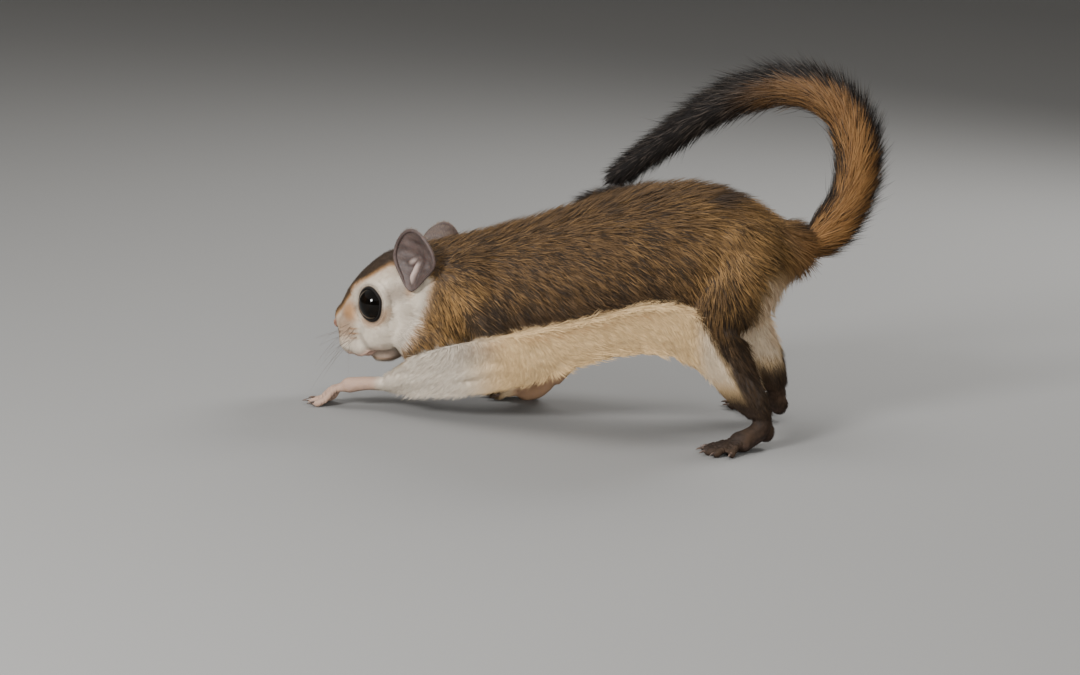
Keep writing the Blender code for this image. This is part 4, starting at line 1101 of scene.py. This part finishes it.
def makeEar(sideName):
    side = -1 if sideName == "left" else 1
    bm = bmesh.new()
    bmesh.ops.create_grid(bm, x_segments=56, y_segments=72, size=1)
    x, y, z = earForm["root"]
    root = Vector((x, side * y, z))
    up = Vector((-0.03, side * 0.10, 0.97)).normalized()
    mouth = Vector((-0.40, side * 0.91, 0.08)).normalized()
    mouth = (mouth - up * mouth.dot(up)).normalized()
    across = up.cross(mouth) * -side  # towards the rear edge
    folds = []
    rim = {}
    for vert in bm.verts:
        p, q = vert.co.x, vert.co.y
        onRim = max(abs(p), abs(q)) > 0.999
        p, q = p * math.sqrt(1 - q * q / 2), q * math.sqrt(1 - p * p / 2)
        fromMiddle = min(p * p + q * q, 1.0)
        height = (q + 1) / 2
        width = earForm["halfWidth"] * (0.66 + 0.38 * smooth(height * 1.7))
        bowl = earForm["depth"] * (fromMiddle ** 0.75 - 1) * (0.62 + 0.25 * height)
        fold = math.exp(-((p + 0.06 - 0.44 * height) / 0.12) ** 2)
        fold = fold * smooth((height - 0.04) / 0.2) * smooth((0.56 - height) / 0.2)
        lobe = math.exp(-((p - 0.60) / 0.22) ** 2 - ((height - 0.42) / 0.16) ** 2)
        shelf = math.exp(-((height - 0.50 - 0.2 * p) / 0.06) ** 2 - ((p + 0.16) / 0.24) ** 2)
        aboveRoot = smooth(height / 0.3)
        crease = 0.16 * math.sin(height * 30 + p * 3) * smooth((0.8 - fromMiddle) / 0.4) * aboveRoot
        lift = 0.16 * max(p, 0) * (1 - height) ** 2
        curl = earForm["curl"] * smooth((fromMiddle - 0.80) / 0.2) * smooth((0.5 - p) / 0.8) * aboveRoot
        place = root + up * (height + lift) * earForm["height"] + across * (p * width + curl)
        place += mouth * (bowl - 1.4 * height * height + 2.4 * fold + 1.5 * lobe + 0.9 * shelf + crease)
        vert.co = placed(turnHead(place))
        # the fold and the shelf also mark where the ear is painted pale: a painted highlight on these raised
        # parts
        folds.append((vert.co.copy(), max(fold, 0.6 * shelf)))
        if onRim:
            rim[math.atan2(q, p)] = vert.co.copy()
    ear = newObject("ear_cup_" + sideName, bm)
    wall = ear.modifiers.new("wall", "SOLIDIFY")
    wall.thickness = earForm["wall"] * mm
    wall.offset = 0
    wall.use_rim = True
    applied(ear)
    edge = [rim[angle] for angle in sorted(rim)]
    start = next(index for index, angle in enumerate(sorted(rim)) if angle > -math.pi / 2)
    edge = edge[start:] + edge[:start]
    bm = bmesh.new()
    radii = []
    for t in np.linspace(0, 1, len(edge)):
        radii.append(earForm["rim"] * mm * (0.45 + 0.55 * smooth(min(t, 1 - t) / 0.2)))
    tubeAlong(bm, edge, radii, 10)
    bmesh.ops.recalc_face_normals(bm, faces=bm.faces)
    roll = newObject("roll", bm)
    bm = bmesh.new()
    bm.from_mesh(ear.data)
    bmesh.ops.recalc_face_normals(bm, faces=bm.faces)
    bm.to_mesh(ear.data)
    bm.free()
    combined(ear, roll, "UNION")
    soften = ear.modifiers.new("soften", "SMOOTH")
    soften.iterations = 3
    applied(ear)
    points = coordinates(ear.data)
    tree = KDTree(len(folds))
    for index, (place, _) in enumerate(folds):
        tree.insert(place, index)
    tree.balance()
    setAttribute(ear.data, "fold", np.array([folds[tree.find(Vector(point))[1]][1] for point in points]))
    ear.data.shade_smooth()
    return ear


# The coat: flat three-sided tufts, thicker at the root, that lie along the flow.
coat = {
    "thickness": 0.42,  # share of a tuft's width
    "sink": 0.3,  # mm that the roots go into the skin
    "roundness": 0.5,  # how much of its own form a tuft's shading shows over the skin's
    "triangles": 195000,  # in one object
    "patch": 0.003,  # size of a tuft in the unwrap
    "unwrapFaces": 9000,
    "kinds": {
        # count, tufts that gather to one point, width in mm, share of the hair's length, share of its lift,
        # scatter of the direction, rows along a tuft
        "under": (104000, 3, 0.32, 0.76, 0.6, 0.16, (0, 1)),
        "guard": (36000, 3, 0.23, 1.05, 1.0, 0.10, (0, 0.5, 1)),
        "face": (98000, 1, 0.17, 1.0, 1.0, 0.09, (0, 1)),
        "tailUnder": (22000, 3, 0.34, 0.72, 0.8, 0.2, (0, 1)),
        "tail": (15500, 4, 0.28, 1.0, 1.0, 0.13, (0, 0.5, 1)),
        "tailFringe": (6500, 1, 0.15, 1.18, 1.0, 0.2, (0, 0.5, 1)),
        "ear": (3000, 1, 0.12, 1.0, 1.0, 0.2, (0, 1)),
    },
}


def surface(mesh):
    mesh.calc_loop_triangles()
    triangles = np.empty(len(mesh.loop_triangles) * 3, dtype=np.int32)
    mesh.loop_triangles.foreach_get("vertices", triangles)
    return triangles.reshape(-1, 3)


def scatter(points, triangles, density, count):  # roots as triangle and barycentric weights
    a, b, c = (points[triangles[:, i]] for i in range(3))
    area = np.linalg.norm(np.cross(b - a, c - a), axis=1) / 2
    weight = area * density[triangles].mean(axis=1)
    chosen = draw.choice(len(triangles), count, p=weight / weight.sum())
    first, second = draw.random(count), draw.random(count)
    over = first + second > 1
    first[over], second[over] = 1 - first[over], 1 - second[over]
    return triangles[chosen], np.stack((1 - first - second, first, second), axis=1)


def taken(values, corners, weights):  # a field's values at the roots
    picked = values[corners]
    if picked.ndim == 3:
        return np.einsum("ijk,ij->ik", picked, weights)
    return (picked * weights).sum(axis=1)


def landed(points, triangles, places):  # the triangle nearest to each place, and barycentric weights there
    tree = BVHTree.FromPolygons([Vector(point) for point in points], triangles.tolist())
    found = np.array([tree.find_nearest(Vector(place))[2] for place in places])
    a, b, c = (points[triangles[found, i]] for i in range(3))
    v0, v1, v2 = b - a, c - a, places - a
    d00, d01, d11 = (v0 * v0).sum(1), (v0 * v1).sum(1), (v1 * v1).sum(1)
    d20, d21 = (v2 * v0).sum(1), (v2 * v1).sum(1)
    below = np.maximum(d00 * d11 - d01 * d01, 1e-18)
    v = np.clip((d11 * d20 - d01 * d21) / below, 0, 1)
    w = np.clip((d00 * d21 - d01 * d20) / below, 0, 1 - v)
    return found, np.stack((1 - v - w, v, w), axis=1)


def unwrapOf(skin):  # an unwrap of the skin's own shape, on a coarse copy
    copy = bpy.data.objects.new("unwrapped", skin.data.copy())
    bpy.context.scene.collection.objects.link(copy)
    thin = copy.modifiers.new("thin", "DECIMATE")
    thin.ratio = coat["unwrapFaces"] / len(copy.data.polygons)
    applied(copy)
    bpy.context.view_layer.objects.active = copy
    copy.select_set(True)
    bpy.ops.object.mode_set(mode="EDIT")
    bpy.ops.mesh.select_all(action="SELECT")
    bpy.ops.uv.smart_project(angle_limit=math.radians(70), island_margin=0.003)
    bpy.ops.object.mode_set(mode="OBJECT")
    mesh = copy.data
    uvs = np.empty(len(mesh.loops) * 2)
    mesh.uv_layers.active.data.foreach_get("uv", uvs)
    triangles = surface(mesh)
    loops = np.empty(len(triangles) * 3, dtype=np.int32)
    mesh.loop_triangles.foreach_get("loops", loops)
    made = coordinates(mesh), triangles, uvs.reshape(-1, 2)[loops.reshape(-1, 3)]
    bpy.data.objects.remove(copy)
    return made


def rootUvs(unwrap, roots):
    points, triangles, uvs = unwrap
    found, weights = landed(points, triangles, roots)
    return np.einsum("ijk,ij->ik", uvs[found], weights)


def tuftPiece(name, tufts, rows, marksAtRoots, uvs):
    count = len(tufts["root"])
    flow, normal = tufts["flow"], tufts["normal"]
    side = np.cross(normal, flow)
    verts, facing, along = [], [], []
    for t in rows:
        rise = np.sin(tufts["lift"]) * (1.45 * t - 0.45 * t * t)
        centre = tufts["root"] + flow * (tufts["length"] * np.cos(tufts["lift"]) * t)[:, None]
        centre = centre + normal * (tufts["length"] * rise - coat["sink"] * mm * (1 - t))[:, None]
        centre = centre + tufts["gather"] * (t * t)
        if t == 1:
            verts.append(centre[:, None, :])
            facing.append(unit(normal + flow * coat["roundness"])[:, None, :])
            along.append(np.full((count, 1), 1.0))
        else:
            width = side * (tufts["width"] * (1 - 0.75 * t * t) / 2)[:, None]
            up = normal * (tufts["width"] * coat["thickness"] * (1 - 0.6 * t))[:, None]
            verts.append(np.stack((centre - width, centre + up, centre + width), axis=1))
            tilt = side * coat["roundness"]
            facing.append(np.stack((unit(normal - tilt), normal, unit(normal + tilt)), axis=1))
            along.append(np.full((count, 3), t))
    verts = np.concatenate(verts, axis=1)
    along = np.concatenate(along, axis=1)
    per = verts.shape[1]
    faces, under = [(0, 1, 2)], [True]
    for ring in range(len(rows) - 2):
        base = ring * 3
        for i in range(3):
            j = (i + 1) % 3
            faces += [(base + i, base + 3 + j, base + j), (base + i, base + 3 + i, base + 3 + j)]
            under += [i == 2] * 2
    base = (len(rows) - 2) * 3
    faces += [(base + i, per - 1, base + (i + 1) % 3) for i in range(3)]
    under += [False, False, True]
    whole = (np.array(faces)[None] + np.arange(count)[:, None, None] * per).reshape(-1, 3)
    mesh = bpy.data.meshes.new(name)
    mesh.vertices.add(count * per)
    mesh.vertices.foreach_set("co", verts.ravel())
    mesh.loops.add(len(whole) * 3)
    mesh.loops.foreach_set("vertex_index", whole.ravel().astype(np.int32))
    mesh.polygons.add(len(whole))
    mesh.polygons.foreach_set("loop_start", np.arange(len(whole), dtype=np.int32) * 3)
    mesh.update(calc_edges=True)
    mesh.validate()
    across = np.tile(np.array((-0.5, 0.0, 0.5) * (len(rows) - 1) + (0.0,)), (count, 1))
    patch = np.stack((across, along - 0.5), axis=2) * coat["patch"] + uvs[:, None, :]
    layer = mesh.uv_layers.new(name="OFBake")
    layer.data.foreach_set("uv", patch.reshape(-1, 2)[whole.ravel()].ravel())
    for key, values in marksAtRoots.items():
        setAttribute(mesh, key, np.repeat(values, per))
    setAttribute(mesh, "along", along.ravel())
    mesh.shade_smooth()
    facing = np.concatenate(facing, axis=1)
    turned = facing - 2 * np.sum(facing * normal[:, None], axis=2, keepdims=True) * normal[:, None]
    cornerNormals = np.where(np.array(under)[None, :, None, None], turned[:, faces], facing[:, faces])
    mesh.normals_split_custom_set(cornerNormals.reshape(-1, 3))
    obj = bpy.data.objects.new(name, mesh)
    bpy.context.scene.collection.objects.link(obj)
    return obj


def coverSkin(mesh, fields, marked, density, kind):
    total, clump, wide, longer, higher, waver, _ = coat["kinds"][kind]
    points, triangles, normal = coordinates(mesh), surface(mesh), normals(mesh)
    clumps = total // clump
    corners, weights = scatter(points, triangles, density, clumps)
    roots = taken(points, corners, weights)
    clumpOf = np.repeat(np.arange(clumps), clump)
    gather = np.zeros((len(clumpOf), 3))
    if clump > 1:
        flow = unit(taken(fields["groundFlow"], corners, weights))[clumpOf]
        up = unit(taken(normal, corners, weights))[clumpOf]
        reach = 0.6 * mm * np.clip(taken(fields["length"], corners, weights)[clumpOf] / 6, 0.35, 1.3)
        roots = roots[clumpOf] + flow * (draw.normal(0, 1.5, len(clumpOf)) * reach)[:, None]
        roots = roots + np.cross(up, flow) * (draw.normal(0, 0.85, len(clumpOf)) * reach)[:, None]
        found, weights = landed(points, triangles, roots)
        corners = triangles[found]
        roots = taken(points, corners, weights)
        middle = np.stack([np.bincount(clumpOf, roots[:, i], clumps) / clump for i in range(3)], axis=1)
        gather = (middle[clumpOf] - roots) * 0.55
    keep = taken(density, corners, weights) > 0.03
    for eye in eyes.values():
        local, away, _ = aroundEye(roots, eye)
        keep &= (away > 0.5) | (local[:, 2] < 0)
    roots, corners, weights, gather, clumpOf = (
        values[keep] for values in (roots, corners, weights, gather, clumpOf)
    )
    count = len(roots)
    normal = unit(taken(normal, corners, weights))
    flow = unit(taken(fields["groundFlow"], corners, weights))
    turn = draw.normal(0, 0.10, clumps)[clumpOf] + draw.normal(0, waver, count)
    flow = flow * np.cos(turn)[:, None] + np.cross(normal, flow) * np.sin(turn)[:, None]
    length = taken(fields["length"], corners, weights) * longer * draw.uniform(0.78, 1.12, count)
    lift = np.radians(taken(fields["lift"], corners, weights) * higher * draw.uniform(0.7, 1.3, count))
    marksAtRoots = {key: taken(values, corners, weights) for key, values in marked.items()}
    marksAtRoots["tone"] = (draw.random(clumps)[clumpOf] + draw.normal(0, 0.10, count)) % 1.0
    tufts = {
        "root": roots, "flow": flow, "normal": normal, "length": length * mm, "lift": lift,
        "width": wide * mm * np.clip(length / 5, 0.5, 1.15) ** 0.6 * draw.uniform(0.8, 1.2, count),
        "gather": gather - flow * (gather * flow).sum(1)[:, None],
    }
    return tufts, marksAtRoots


# Colours as they look under white light, red, green and blue from 0 to 255.
hues = {
    "back": (82, 61, 37),
    "golden": (146, 112, 68),
    "dark": (54, 42, 32),
    "black": (27, 21, 16),
    "cream": (196, 166, 122),
    "white": (184, 173, 157),
    "tan": (150, 108, 66),
    "smoke": (106, 91, 78),
    "rust": (110, 76, 42),
    "tailDark": (22, 18, 16),
    "glint": (112, 100, 88),
    # slate underfur at the hair's roots, and also painted shade deep in the coat
    "root": (62, 54, 48),
    "skin": (140, 104, 84),
    "crease": (132, 98, 88),
    "lip": (170, 128, 112),
    "sole": (76, 58, 50),
    "lid": (16, 12, 10),
    "earBack": (58, 48, 45),
    "earInside": (84, 70, 65),
    # painted highlight on the ear's raised inner folds
    "earFoldHighlight": (158, 140, 131),
}


def hue(name):
    parts = []
    for part in hues[name]:
        share = part / 255
        parts.append(share / 12.92 if share <= 0.04045 else ((share + 0.055) / 1.055) ** 2.4)
    return (*parts, 1)


def furColour(value):  # the same markings for skin and coat, from the fields both carry
    def field(name):
        return value.node("ShaderNodeAttribute", {"attribute_name": name}, output=2)

    place = value.node("ShaderNodeTexCoord", output=3)
    patches = value.node("ShaderNodeTexNoise", {}, {"Vector": place, "Scale": 130, "Detail": 2})
    fine = value.node("ShaderNodeTexNoise", {}, {"Vector": place, "Scale": 900, "Detail": 2})
    tone, along, golden = field("tone"), field("along"), field("golden")
    shade = (tone * 7.31).fract()
    lit = golden * 0.8 + (shade - 0.5) * 0.6 + (patches - 0.5) * 0.8
    brown = lit.step(-0.15, 1.0).mix(hue("back"), hue("golden"))
    brown = field("dark").mix(brown, hue("dark"))
    isBlack = (field("tick") + (patches - 0.5) * 0.7 - tone).step(-0.08, 0.08) * 0.75
    tip = (shade - 0.55).step(0, 0.1) * along.step(0.7, 0.95) * 0.5
    brown = (isBlack + tip).step(0, 1).mix(brown, hue("black"))
    # brown hair turns to the root colour near its base: partly the underfur's own colour, partly painted
    # shade deep in the coat
    brown = ((1 - along.step(0.05, 0.4)) * 0.7).mix(brown, hue("root"))
    light = (field("grey") + (shade - 0.5) * 0.15).step(0, 1).mix(hue("cream"), hue("white"))
    light = ((shade - 0.62).step(0, 0.3) * 0.14 + (fine - 0.5) * 0.3).mix(light, hue("tan"))
    light = (field("tan") + (shade - 0.5) * 0.2).step(0.05, 1.0).mix(light, hue("tan"))
    light = (field("smoke") + (shade - 0.5) * 0.2).step(0.05, 1.05).mix(light, hue("smoke"))
    # pale hair takes some of the root colour near its base: partly the underfur's own colour, partly painted
    # shade deep in the coat
    light = ((1 - along.step(0.0, 0.3)) * 0.3).mix(light, hue("root"))
    tail = (shade * 0.4).mix(hue("rust"), hue("golden"))
    # the tail's rust hair darkens near its base: partly the underfur's own colour, partly painted shade deep
    # in the coat
    tail = (1 - along.step(0.0, 0.35)).mix(tail, hue("dark"))
    colour = value.maths("MAXIMUM", field("pale"), field("grey")).mix(brown, light)
    darkTail = ((shade - 0.7).step(0, 0.1) * along.step(0.5, 0.9) * 0.5).mix(hue("tailDark"), hue("glint"))
    colour = field("isTail").mix(colour, darkTail)
    colour = field("rust").mix(colour, tail)
    bareSkin = field("lips").mix((fine - 0.15).step(0, 0.5).mix(hue("crease"), hue("skin")), hue("lip"))
    colour = field("bare").mix(colour, bareSkin)
    colour = (field("sole") * 0.8).mix(colour, (fine - 0.1).step(0, 1).mix(hue("black"), hue("sole")))
    return field("lid").mix(colour, hue("lid")), fine


def furMaterial(name, roughness, bumpDistance):
    made, shader, value = material(name, roughness, 0.25)
    colour, fine = furColour(value)
    feed(shader, "Base Color", colour)
    bump = value.node("ShaderNodeBump", {}, {"Strength": 0.6, "Distance": bumpDistance, "Height": fine})
    feed(shader, "Normal", bump)
    return made


def eyeMaterial():
    made, shader, value = material("eye_wet", 0.04, 0.22)
    place = value.node("ShaderNodeTexCoord", output=3)
    cloud = value.node("ShaderNodeTexNoise", {}, {"Vector": place, "Scale": 400, "Detail": 3})
    black, brown = (0.0015, 0.0012, 0.001, 1), (0.006, 0.0035, 0.002, 1)
    feed(shader, "Base Color", cloud.step(0.4, 0.8).mix(black, brown))
    return made


def earMaterial():
    made, shader, value = material("ear_skin_thin", 0.55, 0.3)
    place = value.node("ShaderNodeTexCoord", output=3)
    branching = {"Vector": place, "Scale": 230, "Detail": 4, "Distortion": 1.0}
    veins = value.node("ShaderNodeTexNoise", {}, branching)
    fine = value.node("ShaderNodeTexNoise", {}, {"Vector": place, "Scale": 1600, "Detail": 2})
    fold = value.node("ShaderNodeAttribute", {"attribute_name": "fold"}, output=2)
    thin = (veins * 0.8 + fine * 0.3).step(0.3, 0.8).mix(hue("earBack"), hue("earInside"))
    # the raised folds are painted pale: a painted highlight
    feed(shader, "Base Color", fold.step(0.15, 0.9).mix(thin, hue("earFoldHighlight")))
    bump = value.node("ShaderNodeBump", {}, {"Strength": 0.6, "Distance": 0.0002, "Height": veins + fine})
    feed(shader, "Normal", bump)
    shader.inputs["Subsurface Weight"].default_value = 0.15
    shader.inputs["Subsurface Radius"].default_value = (0.002, 0.0008, 0.0005)
    return made


def clawMaterial():
    made, shader, value = material("claw_horn", 0.3, 0.5)
    place = value.node("ShaderNodeTexCoord", output=3)
    grain = value.node("ShaderNodeTexNoise", {}, {"Vector": place, "Scale": 900, "Detail": 2})
    feed(shader, "Base Color", grain.step(0.3, 0.7).mix((0.03, 0.02, 0.016, 1), (0.12, 0.08, 0.06, 1)))
    return made


# Claws: hooked horn at the toes' tips.
claws = {"length": 3.1, "radius": 0.58, "height": 1.35, "hook": 1.2}


def makeClaws():
    bm = bmesh.new()
    for ball, ahead, length, _ in toeLines():
        tip = Vector(ball + ahead * length) + Vector((0, 0, claws["height"]))
        points, radii = [], []
        for t in np.linspace(0, 1, 9):
            reach = Vector(ahead) * claws["length"] * (t - 0.25)
            points.append((tip + reach + Vector((0, 0, 0.9 * t - claws["hook"] * t * t))) * mm)
            radii.append((claws["radius"] * (1 - t) ** 0.7 + 0.05) * mm)
        tubeAlong(bm, points, radii, 10)
    bmesh.ops.recalc_face_normals(bm, faces=bm.faces)
    made = newObject("claw_horn", bm)
    made.data.shade_smooth()
    return made


# Whiskers: stiff hairs in rows on each side of the muzzle.
whiskers = {
    "rows": (
        (3.6, -3.0, 4.4), (5.6, -4.6, 5.6), (7.2, -3.4, 6.4), (4.6, -6.4, 5.0), (8.4, -5.8, 7.0),
        (6.6, -1.8, 5.6),
    ),
    "perPlace": 3,
    "length": 34,
    "radius": 0.06,
}


def makeWhiskers():
    bm = bmesh.new()
    for side in (-1, 1):
        for back, up, out in whiskers["rows"]:
            for _ in range(whiskers["perPlace"]):
                start = headPoint(back + draw.normal(0, 0.4), up + draw.normal(0, 0.4), side * out * 0.8)
                lead = headDirection(draw.uniform(-0.5, 0.35), draw.uniform(-0.35, 0.2), side)
                length = whiskers["length"] * draw.uniform(0.5, 1.0) * mm
                sag = draw.uniform(0.02, 0.16)
                points = []
                for t in np.linspace(0, 1, 9):
                    bend = Vector((0.10 * t * t, 0, -sag * t * t))
                    points.append(start + lead * length * t + bend * length)
                radii = [whiskers["radius"] * mm * (1 - 0.85 * t) for t in np.linspace(0, 1, 9)]
                tubeAlong(bm, points, radii, 4)
    bmesh.ops.recalc_face_normals(bm, faces=bm.faces)
    return newObject("whisker_hairs", bm)


skin = carved(openEyes(refined(drawnIn(fusedFlesh()))))
skin.data.shade_smooth()
own = ownFrame(coordinates(skin.data))
ownNormals = ownDirections(normals(skin.data))
edges = meshEdges(skin.data)
fields = lieFields(own, ownNormals, edges)
fields["groundFlow"] = groundDirections(fields["flow"])
marked = markings(own, ownNormals, fields)
marked["tone"] = np.full(len(own), 0.45)
for key, values in marked.items():
    setAttribute(skin.data, key, values)
# Under long hair the skin takes the root colour, painted shade in the gaps between the hairs; under short
# hair it keeps the fur's colour.
setAttribute(skin.data, "along", 0.62 * (1 - ramp(fields["length"], 1.5, 3.5)))
skinFur = furMaterial("skin_under_fur", 0.75, 0.00015)
skin.data.materials.clear()
skin.data.materials.append(skinFur)
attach(skin, "root")
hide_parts(*fleshNodes, *tailNodes)
print("skin", len(skin.data.polygons), "faces")

coatFur = furMaterial("coat_fur", 0.7, 0.00005)
unwrap = unwrapOf(skin)
coatPieces = []


def layCoat(mesh, fields, marked, density, kind):
    tufts, marksAtRoots = coverSkin(mesh, fields, marked, density, kind)
    rows = coat["kinds"][kind][-1]
    uvs = rootUvs(unwrap, tufts["root"])
    order = np.argsort(tufts["root"][:, 0], kind="stable")
    trianglesEach = 4 + 6 * (len(rows) - 2)
    for part in np.array_split(order, math.ceil(len(order) * trianglesEach / coat["triangles"])):
        piece = tuftPiece(
            f"coat_{len(coatPieces) + 1}", {key: values[part] for key, values in tufts.items()}, rows,
            {key: values[part] for key, values in marksAtRoots.items()}, uvs[part],
        )
        piece.data.materials.append(coatFur)
        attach(piece, "root")
        coatPieces.append(piece)
        print(piece.name, kind, len(piece.data.polygons), "triangles")


eyeWet = eyeMaterial()
earSkin = earMaterial()
earHair = {"length": 1.3, "lift": 15, "from": 42}  # mm, degrees, mm over the ground in the animal's own frame
for sideName, eye in eyes.items():
    ball = makeEye(sideName)
    ball.data.materials.append(eyeWet)
    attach(ball, "root")
    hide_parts("eye_" + sideName)
    cup = makeEar(sideName)
    cup.data.materials.clear()
    cup.data.materials.append(earSkin)
    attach(cup, "root")
    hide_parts("ear_" + sideName)
    normal = normals(cup.data)
    up = np.array((-0.05, 0.0, 1.0))
    outward = groundDirections(np.array([(-0.40, eye["sign"] * 0.91, 0.08)]))[0]
    plain = np.zeros(len(normal))
    earFields = {
        "groundFlow": unit(up - normal * (normal @ up)[:, None] + 1e-6),
        "length": plain + earHair["length"],
        "lift": plain + earHair["lift"],
    }
    earMarks = {key: plain for key in marked}
    earMarks.update(grey=plain + 0.9, smoke=plain + 0.95)
    hidden = ownFrame(coordinates(cup.data))[:, 2] < earHair["from"]
    downy = np.where(hidden, 0, 0.05 + ramp(-normal @ outward, 0.0, 0.5))  # most of it on the ear's back
    layCoat(cup.data, earFields, earMarks, downy, "ear")
print("eyes and ears made")

horn = clawMaterial()
for made, slot in ((makeClaws(), "claw"), (makeWhiskers(), "whisker")):
    made.data.materials.append(horn)
    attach(made, "root")

isBody = (1 - fields["tail"]) * (1 - 0.96 * np.clip(marked["bare"], 0, 1))
longHair = ramp(fields["length"], 1.6, 3.0) * isBody
shortHair = (1 - ramp(fields["length"], 2.0, 3.4)) * isBody
outerTail = fields["tail"] * (0.05 + ramp(np.abs(fields["outward"]), 0.2, 0.8))
layCoat(skin.data, fields, marked, longHair, "under")
layCoat(skin.data, fields, marked, longHair, "guard")
layCoat(skin.data, fields, marked, shortHair, "face")
layCoat(skin.data, fields, marked, fields["tail"], "tailUnder")
layCoat(skin.data, fields, marked, fields["tail"], "tail")
marked["rust"] = marked["rust"] * 0
layCoat(skin.data, fields, marked, outerTail, "tailFringe")
